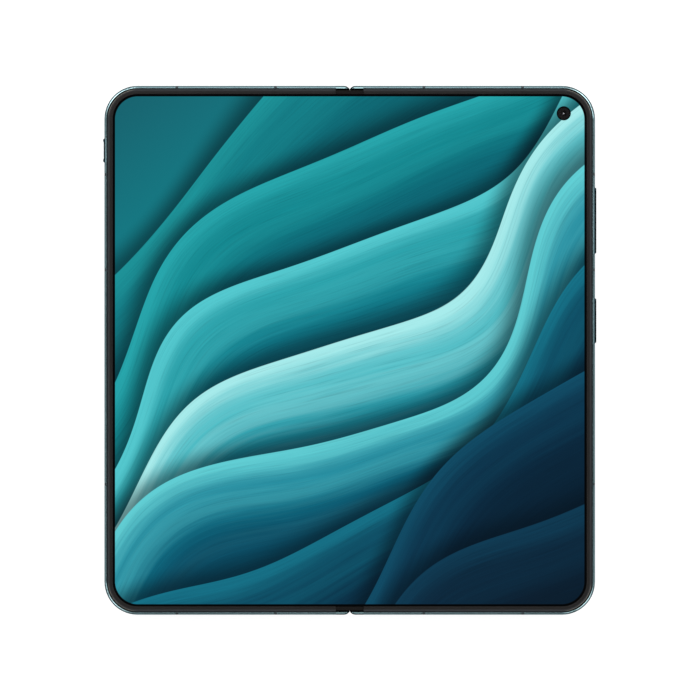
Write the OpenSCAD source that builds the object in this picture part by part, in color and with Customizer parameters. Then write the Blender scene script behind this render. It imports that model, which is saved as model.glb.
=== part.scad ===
// Foldable smartphone lying open on its camera island, with the inner display facing up.
// The fold line is the Y axis, the right half reaches towards +X, and z = 0 is the island's face.

/* [Body] */
// Width of the open phone without its keys
open_w = 142.3; // [136:0.1:152]
// Height of the phone
body_h = 153.4; // [148:0.1:166]
// Thickness of one half, from the bezel to the back glass
body_t = 5.8; // [5.7:0.05:6.6]
// Radius of the outer corners seen from the front
corner_r = 9.6; // [8:0.1:14]
// Depth of the metal rail that runs round each half
rail_w = 2.8; // [2.6:0.1:3.6]
// Width of the bare metal rim outside the bezel
rim_w = 0.8; // [0.5:0.05:1.1]
// How far the metal rim lies below the bezel
rim_drop = 0.1; // [0.05:0.05:0.2]
// Rounding of the rim on the display side
front_edge_r = 0.7; // [0.4:0.05:0.9]
// Rounding of the rail on the back
back_edge_r = 1.7; // [1:0.1:1.9]
// Thickness of the plate that carries the display
deck_t = 0.5; // [0.4:0.05:0.8]

/* [Bezel and display] */
// Width of the plastic bezel
bezel_w = 1.65; // [1.3:0.05:2]
// Thickness of the bezel's lip over the display
lip_over_display = 0.25; // [0.2:0.05:0.4]
// Width of the bevel along the bezel's outer edge
bezel_bevel = 0.3; // [0.12:0.02:0.34]
// Width of the bezel's foot in its groove
bezel_foot_w = 0.75; // [0.6:0.05:0.9]
// Depth of the bezel's foot below the display's face
bezel_foot_h = 0.7; // [0.5:0.05:0.9]
// Distance from the fold line to the bezel's end
bezel_end_x = 4.05; // [3.8:0.05:5]
// Thickness of the display film
film_t = 0.4; // [0.3:0.05:0.5]
// Distance from the fold line to the bonded part of the film
free_film_x = 8; // [7.8:0.05:9]
// Radius of the inner camera's hole in the display
eye_hole_r = 1.85; // [1.6:0.05:2.2]
// Distance of the inner camera from the outer side edge
eye_from_side = 9.1; // [8.6:0.1:12]
// Distance of the inner camera from the top edge
eye_from_top = 8; // [7.6:0.1:11]

/* [Hinge] */
// Distance of each turning axis from the fold line
axis_x = 1.9; // [1.85:0.05:2]
// Room between the two bezels when the phone is folded
closing_gap = 0.1; // [0.06:0.02:0.16]
// Thickness of the frame's lip under the spine
spine_lip_t = 0.33; // [0.3:0.01:0.4]
// Wall of the spine cover
spine_wall = 0.5; // [0.4:0.05:0.6]
// Thickness of the metal wing that covers each end of the spine
wing_t = 1.2; // [1:0.05:1.3]
// Radius of the rounded notch where the halves meet
notch_r = 2.5; // [2.2:0.1:3.5]
// Thickness of the spine cover's end walls
end_wall_t = 0.8; // [0.6:0.1:1]
// Module of the gear teeth
gear_module = 0.2; // [0.19:0.005:0.205]
// Teeth that a full turn of the arm's gear would have
sector_teeth = 15; // [15:1:15]
// Teeth of each idler gear
idler_teeth = 7; // [7:1:7]
// Width of the gear teeth
gear_w = 3.9; // [3:0.1:6]
// Thickness of the cheeks beside the gears
cheek_t = 0.8; // [0.6:0.1:1.2]
// Distance of the outer hinge modules from the middle one
module_pitch = 48; // [40:1:54]
// Radius of the bearing core that the arms turn on
core_r = 0.9; // [0.8:0.01:0.92]
// Radius of the idler gears' axles
idler_axle_r = 0.35; // [0.28:0.01:0.4]
// Thickness of the bar that carries each arm's gear
arm_t = 0.65; // [0.5:0.05:0.75]
// Thickness of the wall beside the spine
hinge_wall_t = 0.9; // [0.7:0.05:1.2]
// Thickness of the support plates under the fold
plate_t = 0.3; // [0.2:0.02:0.34]
// Tilt of the support plates when the phone is folded, in degrees
plate_tilt = 22.2; // [21:0.1:23]

/* [Back] */
// Thickness of the glass on the back of each half
glass_t = 0.6; // [0.5:0.05:0.7]
// Width of the metal that shows round the back glass
back_rim_w = 1.9; // [1.9:0.05:2.2]
// Height of the camera island above the back
island_h = 2.6; // [2:0.1:3]
// Radius of the camera island
island_r = 22; // [20:0.1:23]
// Distance of the island's centre from the top edge
island_from_top = 30; // [27:0.5:34]
// Distance of the island's centre from the fold line
island_x = 36.8; // [34:0.1:40]
// Width of the island's trim ring
island_ring_w = 1.6; // [1.2:0.1:2.2]
// Radius of the main camera's rim
main_lens_r = 6.2; // [5.5:0.1:6.6]
// Radius of the other two cameras' rims
small_lens_r = 5.4; // [4.8:0.1:5.8]
// Distance of the cameras from the island's centre
lens_ring_r = 10.6; // [10:0.1:11.4]

/* [Keys and openings] */
// Length of the volume key
volume_len = 19.3; // [16:0.1:22]
// Distance of the volume key's middle from the top edge
volume_from_top = 39; // [38:0.1:40]
// Length of the power key
power_len = 13.1; // [11:0.1:15]
// Distance of the power key's middle from the top edge
power_from_top = 68.1; // [66:0.1:70]
// Length of the alert slider
slider_len = 7; // [5:0.1:8]
// Distance of the alert slider's middle from the top edge
slider_from_top = 18.6; // [17.8:0.1:20]
// Travel of the alert slider to each side of its middle place
slider_travel = 1.2; // [0.8:0.1:1.6]
// Width of the keys across the rail
key_w = 2; // [1.6:0.1:2.2]
// How far the keys stand out of the rail
key_proud = 0.5; // [0.3:0.05:0.7]
// Depth of the keys' pockets in the rail
key_pocket = 1.75; // [1.6:0.05:1.9]
// Width of the antenna bands
band_w = 0.8; // [0.5:0.1:1.2]
// Distance of the inner antenna bands from the fold line
band_inner_x = 21.5; // [19:0.1:23]
// Distance of the outer antenna bands from the fold line
band_outer_x = 50.1; // [48:0.1:56]
// Length of the earpiece slit above the cover display
earpiece_len = 12; // [8:0.5:16]
// Distance of the card tray's middle from the fold line
tray_x = 29.7; // [29:0.1:33]
// Length of the card tray's face
tray_w = 13; // [12:0.1:14]
// Depth of the card tray in the phone
tray_depth = 15; // [13:0.5:17]

/* [Hidden] */
$fn = 64;

metal = "#5e7d83";
key_metal = "#1d434c";
bezel_plastic = "#2a2928";
black_plastic = "#1b1c1e";
glass_black = "#101214";
steel = "#b9bec2";
board_green = "#1f4a3a";
gold = "#b08d4a";

// Clearances
running_gap = 0.05;   // between pieces that turn or slide on each other
fit_gap = 0.08;       // between a fixed piece and its pocket
bond = 0.1;           // adhesive under a part that is glued down
press_room = 0.3;     // free travel behind a key
cut_over = 1;         // how far a cutting solid runs past the face it cuts

half_w = open_w / 2;
half_h = body_h / 2;
top_z = body_t + island_h;
fold_gap = closing_gap / 2;
axis_depth = axis_x - fold_gap;

// Levels below the bezel's top face
film_top = lip_over_display;
shelf = film_top + film_t;
foot_level = film_top + bezel_foot_h;
deck_under = shelf + deck_t;
glass_inner = body_t - glass_t;

// Distances inwards from the outer face
foot_in = rim_w + fit_gap + bezel_foot_w;
film_in = foot_in + 0.15;
glass_in = back_rim_w + running_gap;

// Spine
cavity_r = body_t - axis_depth - spine_lip_t - 0.02;
spine_r = cavity_r - running_gap;
spine_in_r = spine_r - spine_wall;
spine_floor = axis_depth + spine_in_r;
spine_half_len = half_h - wing_t - 2 * running_gap;
film_end = spine_half_len;
web_end = half_h - wing_t + 0.1;
wall_x = axis_x + cavity_r;
wall_out_x = wall_x + hinge_wall_t;
deck_x = free_film_x + 0.2;

// Room that the display's loop takes when the phone is folded
bulge_r = 2.55;
bulge_depth = 0.285;

// Gears
sector_r = gear_module * sector_teeth / 2;
idler_r = gear_module * idler_teeth / 2;
idler_depth = axis_depth + sqrt(pow(sector_r + idler_r, 2) - pow(axis_x - idler_r, 2));
mesh_angle = 180 + atan2(idler_depth - axis_depth, axis_x - idler_r);
pressure_angle = 30;
addendum = 0.8 * gear_module;
dedendum = 1.05 * gear_module;
tooth_slack = 0.03;
fold_angle = 90;
sector_step = 360 / sector_teeth;
idler_step = 360 / idler_teeth;
block_w = gear_w + 2 * running_gap + 2 * cheek_t;
arm_under = axis_depth + core_r + running_gap + 0.05 + arm_t;
arm_top = arm_under - arm_t;
module_places = [-module_pitch, 0, module_pitch];
cable_places = [-module_pitch / 2, module_pitch / 2];
cable_w = 12;
cable_t = 0.12;
cable_level = arm_top + 0.3;

// Arm's mounting plate inside each half
mount_x0 = wall_out_x + 0.1;
mount_len = 6.4;
mount_half_w = 5;
mount_screw_x = mount_x0 + 4.9;
mount_screw_y = 3.3;
screw_r = 0.45;
screw_head_r = 0.9;
screw_head_h = 0.4;
thread_r = 0.5;
boss_r = 1.2;
arm_room = 0.15;

// Room inside each half
inner_x = mount_x0 + mount_len + 1;
inner_x1 = half_w - rail_w - 0.3;
inner_y1 = half_h - rail_w - 0.3;

// Island
island_y = half_h - island_from_top;
ring_face = body_t + island_h - 0.3;
island_glass_t = 0.7;
island_glass_r = island_r - island_ring_w;
spigot_r = island_glass_r - 0.3;
lens_angles = [135, 225, 0];
lens_radii = [main_lens_r, small_lens_r, small_lens_r];
flash_angle = 62;
flash_ring_r = 13.2;
flash_r = 2.2;

// Edge parts
volume_y = half_h - volume_from_top;
power_y = half_h - power_from_top;
slider_y = half_h - slider_from_top;
key_depth = 2.85;
crown_h = 0.25;
crown_in = 0.15;
stem_r = 0.5;
rocker_r = 0.5;
slider_lug_w = 1.4;
slider_lug_h = 1;
slot_level = 2.75;
usb_x = 36.5;
usb_half_w = 4.47;
usb_half_h = 1.63;
usb_depth = 7.4;
speaker_hole_r = 0.55;
speaker_step = 2;
speaker_holes = 6;
top_speaker_from_side = 25.15;
top_speaker_x = half_w - top_speaker_from_side;
speaker_from_usb = 9.5;
bottom_speaker_x = usb_x + speaker_from_usb;
sound_duct = speaker_step * (speaker_holes - 1) + 2.5;
mic_hole_r = 0.45;
top_mics_x = [31, 36.5];
left_mic_x = 30;
mic_from_usb = 8.5;
bottom_mic_x = usb_x - mic_from_usb;
earpiece_w = 0.45;
earpiece_in = 1.45;
earpiece_depth = 0.6;
tray_edge = 1;
upper_band_from_top = 25.7;
middle_band_from_top = 53.4;
lower_band_from_bottom = 37.9;
side_bands_y = [
    half_h - upper_band_from_top, half_h - middle_band_from_top, lower_band_from_bottom - half_h
];
band_depth = 1.2;
tray_t = 0.8;
tray_face_w = 2;
eye_x = half_w - eye_from_side;
eye_y = half_h - eye_from_top;
eye_barrel_r = eye_hole_r - 0.15;
cover_eye_x = 37;
cover_eye_y = half_h - 8.5;

// Boards and cells
speaker_bay = 22.7;
reader_bay = 26.7;
board_strip = 12.7;
left_board_bay = 52.7;
right_cell_y = [speaker_bay - half_h, island_y - island_r - board_strip];
left_cell_y = [reader_bay - half_h, half_h - left_board_bay];
soft_r = 1.5;
piece_room = 1;
board_y0 = right_cell_y[1] + 1.5 * piece_room;
left_board_y0 = left_cell_y[1] + piece_room;
left_board_len = 26;
board_level = 2.7;
board_t = 0.8;
spacer_r = 1.1;
chip_len = 12.5;
chip_w = 17;
shield_w = 22;
shield_len = 10.5;
modem_w = 11;
modem_len = 14;
post_in = 3;
edge_post_in = 1.6;
inner_post_rise = 22;
outer_post_in = 5;
outer_post_rise = 1.8;
speaker_w = 21;
speaker_len = 14;
motor_w = 12;
camera_body_room = 0.4;
main_body_half = 6;
small_body_half = 5.8;
eye_body_half = 3.1;
usb_recess = 0.6;
tongue_half = 3.2;
tongue_t = 0.7;
usb_board_t = 0.6;
cover_panel_t = 0.7;
left_room_under = glass_inner - cover_panel_t - 0.15;

// Placement helpers
module raised() {
    translate([0, 0, top_z]) children();
}

module mirrored() {
    mirror([1, 0, 0]) children();
}

// Extrudes a profile drawn in X and Z along Y
module along_y(y0, y1) {
    translate([0, y1, 0]) rotate([90, 0, 0]) linear_extrude(y1 - y0) children();
}

// Extrudes a profile drawn in Y and Z along X
module along_x(x0, x1) {
    translate([x0, 0, 0]) rotate([90, 0, 90]) linear_extrude(x1 - x0) children();
}

// A slab between two levels below the bezel's top face
module slab(z_top, z_under) {
    translate([0, 0, -z_under]) linear_extrude(z_under - z_top) children();
}

module block(x0, x1, y0, y1, z_top, z_under) {
    translate([x0, y0, -z_under]) cube([x1 - x0, y1 - y0, z_under - z_top]);
}

module post(x, y, r, z_top, z_under) {
    translate([x, y, -z_under]) cylinder(r = r, h = z_under - z_top);
}

// A block with rounded upright edges
module soft_block(x0, x1, y0, y1, z_top, z_under, r) {
    slab(z_top, z_under) {
        translate([x0 + r, y0]) square([x1 - x0 - 2 * r, y1 - y0]);
        translate([x0, y0 + r]) square([x1 - x0, y1 - y0 - 2 * r]);
        for (x = [x0 + r, x1 - r], y = [y0 + r, y1 - r]) translate([x, y]) circle(r);
    }
}

// Outline of the right half, drawn in by a given distance
module half_plan(x0, inset) {
    r = corner_r - inset;
    x1 = half_w - inset;
    y1 = half_h - inset;
    translate([x0, -y1]) square([x1 - r - x0, 2 * y1]);
    translate([x0, -y1 + r]) square([x1 - x0, 2 * (y1 - r)]);
    for (side = [-1, 1]) translate([x1 - r, side * (y1 - r)]) circle(r);
}

// Rail profile: 0 is the outer face, negative is inwards
module rail_blank() {
    intersection() {
        translate([-rail_w, -body_t]) square([rail_w, body_t - rim_drop]);
        union() {
            translate([-rail_w, -body_t]) square([rail_w - back_edge_r, body_t]);
            translate([-back_edge_r, back_edge_r - body_t]) {
                square([back_edge_r, body_t - rim_drop - back_edge_r - front_edge_r]);
                circle(back_edge_r);
            }
            translate([-back_edge_r, -rim_drop - front_edge_r])
                square([back_edge_r - front_edge_r, front_edge_r]);
            translate([-front_edge_r, -rim_drop - front_edge_r]) circle(front_edge_r);
        }
    }
}

module rail_section() {
    difference() {
        rail_blank();
        translate([-foot_in, -foot_level]) square([foot_in - rim_w, foot_level + cut_over]);
        translate([-rail_w - cut_over, -shelf])
            square([rail_w + cut_over - foot_in + fit_gap, shelf + cut_over]);
        translate([-rail_w - cut_over, -body_t - cut_over])
            square([rail_w + cut_over - back_rim_w, cut_over + glass_t]);
    }
}

// Carries a profile round the right half: along the top, the side and the bottom
module round_half(x0) {
    along_y(corner_r - half_h, half_h - corner_r) translate([half_w, 0]) children();
    for (side = [0, 1]) mirror([0, side, 0]) {
        translate([half_w - corner_r, half_h - corner_r, 0])
            rotate_extrude(angle = 90) translate([corner_r, 0]) children();
        along_x(x0, half_w - corner_r) translate([half_h, 0]) children();
    }
}

// Wing profile beside the fold: a facet that slopes outwards, and a rebate along the film
module wing_section() {
    facet_slope = 14;
    rebate = 0.35;
    intersection() {
        rail_blank();
        polygon([
            [-wing_t, -body_t], [0, -body_t], [0, -rim_drop - rim_w * tan(facet_slope)],
            [-rim_w, -rim_drop], [-rim_w, -rim_drop - rebate], [-wing_t, -rim_drop - rebate]
        ]);
    }
}

// Metal wing that covers one end of the spine
module wing() {
    difference() {
        union() {
            along_x(fold_gap, bezel_end_x - fit_gap) translate([half_h, 0]) wing_section();
            along_x(bezel_end_x - fit_gap, deck_x) translate([half_h, 0]) intersection() {
                rail_section();
                translate([-wing_t, -body_t]) square([wing_t, body_t]);
            }
        }
        along_y(half_h - wing_t - cut_over, half_h + cut_over) difference() {
            translate([-cut_over, -axis_depth]) square([axis_x + cut_over, axis_depth + cut_over]);
            translate([axis_x, -axis_depth]) circle(axis_x - fold_gap);
        }
        slab(-cut_over, body_t + cut_over) difference() {
            translate([-cut_over, half_h - notch_r])
                square([cut_over + axis_x, notch_r + cut_over]);
            translate([axis_x, half_h - notch_r]) circle(notch_r);
        }
    }
}

// Hinge side of the frame: lip under the spine, curved trough, wall and sloped web
module hinge_side_section() {
    plate_under = shelf + plate_t;
    pivot_floor = plate_under + running_gap + 0.03;
    slope_drop = (free_film_x - wall_x) * tan(plate_tilt + 1.5);
    wall_top = plate_under + slope_drop + 0.1;
    web_t = 0.35;
    glass_ledge = 0.9;
    difference() {
        polygon([
            [fold_gap, -body_t], [wall_out_x, -body_t], [wall_out_x, -glass_inner],
            [wall_out_x + glass_ledge, -glass_inner], [wall_out_x + glass_ledge, -glass_inner + 0.4],
            [wall_out_x, -glass_inner + 1], [wall_out_x, -wall_top - web_t],
            [deck_x, -deck_under - 0.5], [deck_x + 1, -deck_under], [deck_x + 1, -pivot_floor],
            [free_film_x, -pivot_floor], [free_film_x - 0.1, -plate_under - 0.2],
            [wall_x, -wall_top], [axis_x, -wall_top], [axis_x, -body_t + spine_lip_t],
            [fold_gap, -body_t + spine_lip_t]
        ]);
        translate([axis_x, -axis_depth]) circle(cavity_r);
    }
}

// A slot through the wall beside the spine
module wall_slot(y, half_len, z_top, z_under) {
    block(wall_x - cut_over, wall_out_x + cut_over, y - half_len, y + half_len, z_top, z_under);
}

// Frame of one half without the openings of its own side, drawn as the right half
module half_frame() {
    difference() {
        union() {
            round_half(deck_x) rail_section();
            for (side = [0, 1]) mirror([0, side, 0]) wing();
            along_y(-web_end, web_end) hinge_side_section();
            slab(shelf, deck_under) half_plan(deck_x, foot_in + 0.3);
            for (y = module_places, side = [-1, 1])
                post(mount_screw_x, y + side * mount_screw_y, boss_r, deck_under - 0.1, arm_top);
        }
        for (y = module_places) {
            wall_slot(y, gear_w / 2 + arm_room, arm_top - 0.1, arm_under + 0.1);
            for (side = [-1, 1]) post(mount_screw_x, y + side * mount_screw_y, thread_r,
                deck_under + arm_room, arm_top + cut_over);
        }
        for (y = cable_places)
            wall_slot(y, cable_w / 2 + arm_room, cable_level - arm_room, cable_level + cable_t + arm_room);
    }
}

// A stadium-shaped key outline, drawn in Y and Z
module key_outline(len, width) {
    r = width / 2;
    translate([-len / 2 + r, -r]) square([len - width, width]);
    for (side = [-1, 1]) translate([side * (len / 2 - r), 0]) circle(r);
}

// Key cap: its shank in the pocket and a slightly narrower crown outside
module key_cap(y, len, foot_room) {
    crown_x = half_w + key_proud - crown_h;
    translate([0, y, -key_depth]) {
        along_x(half_w - key_pocket + foot_room, crown_x) key_outline(len, key_w);
        along_x(crown_x, half_w + key_proud) key_outline(len - 2 * crown_in, key_w - 2 * crown_in);
    }
}

module key_pocket_cut(y, len) {
    translate([0, y, -key_depth]) along_x(half_w - key_pocket, half_w + cut_over)
        key_outline(len + 2.5 * fit_gap, key_w + 2 * fit_gap);
}

module stem_hole(y) {
    translate([half_w - rail_w - cut_over, y, -key_depth])
        rotate([0, 90, 0]) cylinder(r = stem_r + fit_gap, h = rail_w);
}

module edge_hole(x, level, r) {
    translate([x, half_h - rail_w - cut_over, -level])
        rotate([-90, 0, 0]) cylinder(r = r, h = rail_w + 2 * cut_over);
}

// Antenna bands of one half, drawn as the right half
module band_blocks(depth, grow) {
    w = band_w + 2 * grow;
    for (x = [band_inner_x, band_outer_x], side = [0, 1]) mirror([0, side, 0])
        along_x(x - w / 2, x + w / 2) translate([half_h, 0]) band_section(depth);
    for (y = side_bands_y)
        along_y(y - w / 2, y + w / 2) translate([half_w, 0]) band_section(depth);
}

module band_section(depth) {
    intersection() {
        rail_section();
        translate([-depth, -body_t]) square([depth, body_t]);
    }
}

// Left half

module left_frame() {
    color(metal) raised() mirrored() difference() {
        half_frame();
        band_blocks(band_depth, 0);
        key_pocket_cut(slider_y, slider_len + 2 * slider_travel);
        slider_slot();
        mirror([0, 1, 0]) tray_cut();
        speaker_openings(top_speaker_x);
        edge_hole(left_mic_x, slot_level, mic_hole_r);
        slab(body_t - earpiece_depth, body_t + cut_over)
            translate([cover_eye_x, half_h - earpiece_in]) key_outline(earpiece_len, earpiece_w);
    }
}

module slider_slot() {
    reach = slider_travel + slider_lug_w / 2 + fit_gap;
    half_high = slider_lug_h / 2 + fit_gap;
    block(half_w - rail_w - cut_over, half_w - key_pocket + cut_over, slider_y - reach,
        slider_y + reach, key_depth - half_high, key_depth + half_high);
}

module speaker_openings(x) {
    for (i = [0 : speaker_holes - 1]) edge_hole(x + i * speaker_step, slot_level, speaker_hole_r);
}

module tray_cut() {
    translate([tray_x, half_h, -slot_level]) {
        along_y(-band_depth - fit_gap, cut_over)
            key_outline(tray_w + 2 * fit_gap, tray_face_w + 2 * fit_gap);
        translate([-tray_w / 2 + tray_edge - fit_gap, -rail_w - cut_over, -tray_t / 2 - fit_gap])
            cube([tray_w - 2 * tray_edge + 2 * fit_gap, rail_w + cut_over, tray_t + 2 * fit_gap]);
    }
}

// Face flush with the rail, and the flat board with its window for the card
module card_tray() {
    board_half = tray_w / 2 - tray_edge;
    window_half = board_half - 0.9;
    card_floor = 0.15;
    eject_r = 0.4;
    color(metal) raised() mirrored() mirror([0, 1, 0]) difference() {
        union() {
            intersection() {
                translate([tray_x, half_h, -slot_level]) along_y(-band_depth, cut_over)
                    key_outline(tray_w, tray_face_w);
                along_x(tray_x - tray_w, tray_x + tray_w) translate([half_h, 0]) rail_blank();
            }
            translate([tray_x - board_half, half_h - tray_depth, -slot_level - tray_t / 2])
                cube([2 * board_half, tray_depth - band_depth + 0.2, tray_t]);
        }
        block(tray_x - window_half, tray_x + window_half, half_h - tray_depth + tray_edge,
            half_h - rail_w - 0.4, slot_level - tray_t, slot_level + tray_t / 2 - card_floor);
        edge_hole(tray_x + board_half - 0.3, slot_level, eject_r);
    }
}

// Sheet cage that guides the tray
module card_reader() {
    sheet = 0.5;
    inner_half = tray_w / 2 - tray_edge + fit_gap;
    outer_half = inner_half + 1.5;
    y1 = half_h - rail_w - fit_gap;
    y0 = half_h - tray_depth - 1.4;
    color(steel) raised() mirrored() mirror([0, 1, 0]) difference() {
        block(tray_x - outer_half, tray_x + outer_half, y0, y1, deck_under + bond,
            slot_level + tray_t / 2 + sheet);
        block(tray_x - inner_half, tray_x + inner_half, y0 + 0.9, y1 + cut_over,
            slot_level - tray_t / 2 - fit_gap, slot_level + tray_t / 2 + fit_gap);
        block(tray_x - inner_half + 0.1, tray_x + inner_half - 0.1, y0 + 2.2, y1 - 3,
            slot_level - cut_over, slot_level + cut_over);
    }
}

// Slider with fine grip grooves and the lug that moves its switch
module alert_slider() {
    groove_r = 0.16;
    groove_step = 0.7;
    hollow = 0.15;
    hollow_half = slider_len / 2 - 0.9;
    color(key_metal) raised() mirrored() {
        difference() {
            key_cap(slider_y, slider_len, 0.1);
            block(half_w + key_proud - hollow, half_w + cut_over, slider_y - hollow_half,
                slider_y + hollow_half, 0, body_t);
            for (i = [-3 : 3])
                translate([half_w + key_proud - hollow, slider_y + i * groove_step, -key_depth])
                    cylinder(r = groove_r, h = key_w + cut_over, center = true);
        }
        block(half_w - rail_w + 0.1, half_w - key_pocket + 0.3, slider_y - slider_lug_w / 2,
            slider_y + slider_lug_w / 2, key_depth - slider_lug_h / 2, key_depth + slider_lug_h / 2);
    }
}

module slider_switch() {
    color(steel) raised() mirrored() switch_block(slider_y, slider_len + 2 * slider_travel, 2.5);
}

// Switch on the inner face of the rail
module switch_block(y, len, depth) {
    x1 = half_w - rail_w - 0.1;
    block(x1 - depth, x1, y - len / 2, y + len / 2, deck_under + bond, key_depth + 1);
}

module bezel() {
    lip = bezel_w;
    soft = 0.12;
    round_half(bezel_end_x) polygon([
        [-rim_w - fit_gap, -bezel_bevel], [-rim_w - fit_gap - bezel_bevel, 0], [-rim_w - lip + soft, 0],
        [-rim_w - lip, -soft], [-rim_w - lip, -film_top], [-foot_in, -film_top],
        [-foot_in, -foot_level], [-rim_w - fit_gap, -foot_level]
    ]);
}

module left_bezel() {
    color(bezel_plastic) raised() mirrored() bezel();
}

module flat_film() {
    slab(film_top, shelf) half_plan(free_film_x, film_in);
}

module left_display_panel() {
    color(glass_black) raised() mirrored() flat_film();
}

// Glass on a half's back
module back_pane() {
    slab(glass_inner, body_t) half_plan(wall_out_x + 0.1, glass_in);
}

module cover_glass() {
    color(glass_black) raised() mirrored() back_pane();
}

module cover_display() {
    color(black_plastic) raised() mirrored() difference() {
        soft_block(wall_out_x + 1.5, inner_x1 - 0.4, -inner_y1 + 0.4, inner_y1 - 0.4,
            glass_inner - cover_panel_t, glass_inner, corner_r - rail_w - 0.3);
        post(cover_eye_x, cover_eye_y, 2, 0, body_t);
    }
}

module cover_camera() {
    color(black_plastic) raised() mirrored() difference() {
        union() {
            translate([cover_eye_x, cover_eye_y, 0])
                soft_block(-eye_body_half, eye_body_half, -eye_body_half, eye_body_half,
                    deck_under + bond, left_room_under, 0.6);
            post(cover_eye_x, cover_eye_y, 1.8, left_room_under - 0.1, glass_inner - 0.1);
        }
        post(cover_eye_x, cover_eye_y, 0.9, glass_inner - 0.5, glass_inner);
    }
}

module left_battery() {
    color("#33363a") raised() mirrored()
        soft_block(inner_x, inner_x1 - 1.5 * piece_room, left_cell_y[0], left_cell_y[1],
            deck_under + bond, left_room_under - 0.1, soft_r);
}

function left_posts() = [
    for (x = [inner_x + post_in, inner_x1 - 2 * post_in],
         y = [left_board_y0 + post_in, left_board_y0 + left_board_len - post_in]) [x, y]
];

module left_board() {
    y0 = left_board_y0;
    color(board_green) raised() mirrored() {
        difference() {
            block(inner_x, inner_x1 - post_in, y0, y0 + left_board_len,
                board_level, board_level + board_t);
            for (p = left_posts()) post(p[0], p[1], thread_r, 0, body_t);
        }
        chip_on_board(inner_x + 2.5 * post_in, y0 + 2 * post_in, chip_w, modem_len);
        chip_on_board(inner_x1 - 4 * post_in - modem_w, y0 + 2 * post_in, modem_w, modem_len);
        for (p = left_posts()) spacer(p);
    }
}

// Shielded chip between the deck and a board
module chip_on_board(x, y, w, len) {
    soft_block(x, x + w, y, y + len, deck_under + bond, board_level, piece_room);
}

// Threaded spacer between the deck and a board
module spacer(p) {
    difference() {
        post(p[0], p[1], spacer_r, deck_under, board_level);
        post(p[0], p[1], thread_r, 0, body_t);
    }
}

module top_loudspeaker() {
    color(black_plastic) raised() mirrored() {
        soft_block(top_speaker_x - post_in, top_speaker_x - post_in + speaker_w,
            inner_y1 - piece_room - speaker_len, inner_y1 - piece_room,
            deck_under + bond, left_room_under - 0.1, soft_r);
        sound_outlet(top_speaker_x);
    }
}

// Duct from a loudspeaker to its row of holes in the rail
module sound_outlet(first_hole_x) {
    x0 = first_hole_x - 1;
    block(x0, x0 + sound_duct, inner_y1 - 1.5, half_h - rail_w - 0.1, slot_level - 0.9, slot_level + 0.9);
}

module left_antenna_bands() {
    color(bezel_plastic) raised() mirrored() band_blocks(band_depth, 0);
}

// One tooth of an involute gear, centred on the X axis
function involute(angle) = tan(angle) - angle * PI / 180;
function half_thickness(pitch_r, r) =
    let (base_r = pitch_r * cos(pressure_angle),
         at = r <= base_r ? 0 : acos(base_r / r),
         pitch_half = (PI * gear_module / 2 - tooth_slack) / (2 * pitch_r))
    (pitch_half + involute(pressure_angle) - involute(at)) * 180 / PI;

module gear_tooth(pitch_r) {
    root = pitch_r - dedendum;
    radii = [root - 0.06, max(root, pitch_r * cos(pressure_angle)), pitch_r - addendum / 2,
             pitch_r, pitch_r + addendum / 2, pitch_r + addendum];
    flank = [for (r = radii) [r, half_thickness(pitch_r, r)]];
    last = len(flank) - 1;
    polygon(concat(
        [for (p = flank) [p[0] * cos(p[1]), -p[0] * sin(p[1])]],
        [for (i = [last : -1 : 0]) [flank[i][0] * cos(flank[i][1]), flank[i][0] * sin(flank[i][1])]]
    ));
}

// Gear arm: a toothed ring segment round the turning axis, and the bar into the half
module arm_profile(first_tooth) {
    ring_start = mesh_angle - fold_angle - 13;
    reach = 2 * sector_r;
    translate([axis_x, -axis_depth]) difference() {
        union() {
            intersection() {
                circle(sector_r - dedendum);
                polygon([
                    [0, 0], [reach * cos(ring_start), reach * sin(ring_start)],
                    [-reach, -reach], [0, -reach]
                ]);
            }
            for (i = [0 : 4]) rotate(first_tooth + i * sector_step) gear_tooth(sector_r);
            translate([0, axis_depth - arm_under]) square([wall_out_x - axis_x + 0.5, arm_t]);
        }
        circle(core_r + running_gap);
    }
}

module hinge_arms(first_tooth) {
    for (y = module_places) {
        along_y(y - gear_w / 2, y + gear_w / 2) arm_profile(first_tooth);
        difference() {
            soft_block(mount_x0, mount_x0 + mount_len, y - mount_half_w, y + mount_half_w,
                arm_top, arm_under, 0.8);
            for (side = [-1, 1])
                post(mount_screw_x, y + side * mount_screw_y, screw_r + 0.1, 0, body_t);
        }
    }
}

module left_hinge_arms() {
    color(steel) raised() mirrored() hinge_arms(mesh_angle - 4 * sector_step);
}

// A pan-head screw whose head presses upwards against a plate
module screw(x, y, seat, length) {
    post(x, y, screw_head_r, seat, seat + screw_head_h);
    post(x, y, screw_r, seat - length, seat);
}

module arm_screws() {
    for (y = module_places, side = [-1, 1])
        screw(mount_screw_x, y + side * mount_screw_y, arm_under, arm_t + 1);
}

module left_screws() {
    color(steel) raised() mirrored() {
        arm_screws();
        for (p = left_posts()) screw(p[0], p[1], board_level + board_t, board_t + 1);
    }
}

// Right half

module right_frame() {
    color(metal) raised() difference() {
        half_frame();
        band_blocks(band_depth, 0);
        key_pocket_cut(volume_y, volume_len);
        key_pocket_cut(power_y, power_len);
        for (y = [volume_y - volume_len / 4, volume_y + volume_len / 4, power_y]) stem_hole(y);
        post(eye_x, eye_y, eye_hole_r, 0, deck_under + cut_over);
        mirror([0, 1, 0]) {
            translate([usb_x, half_h, -slot_level]) along_y(-rail_w - cut_over, cut_over)
                key_outline(2 * usb_half_w, 2 * usb_half_h);
            speaker_openings(bottom_speaker_x);
            edge_hole(bottom_mic_x, slot_level, mic_hole_r);
        }
        for (x = top_mics_x) edge_hole(x, slot_level, mic_hole_r);
    }
}

module right_bezel() {
    color(bezel_plastic) raised() bezel();
}

module right_display_panel() {
    color(glass_black) raised() difference() {
        flat_film();
        post(eye_x, eye_y, eye_hole_r, 0, shelf + cut_over);
    }
}

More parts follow.
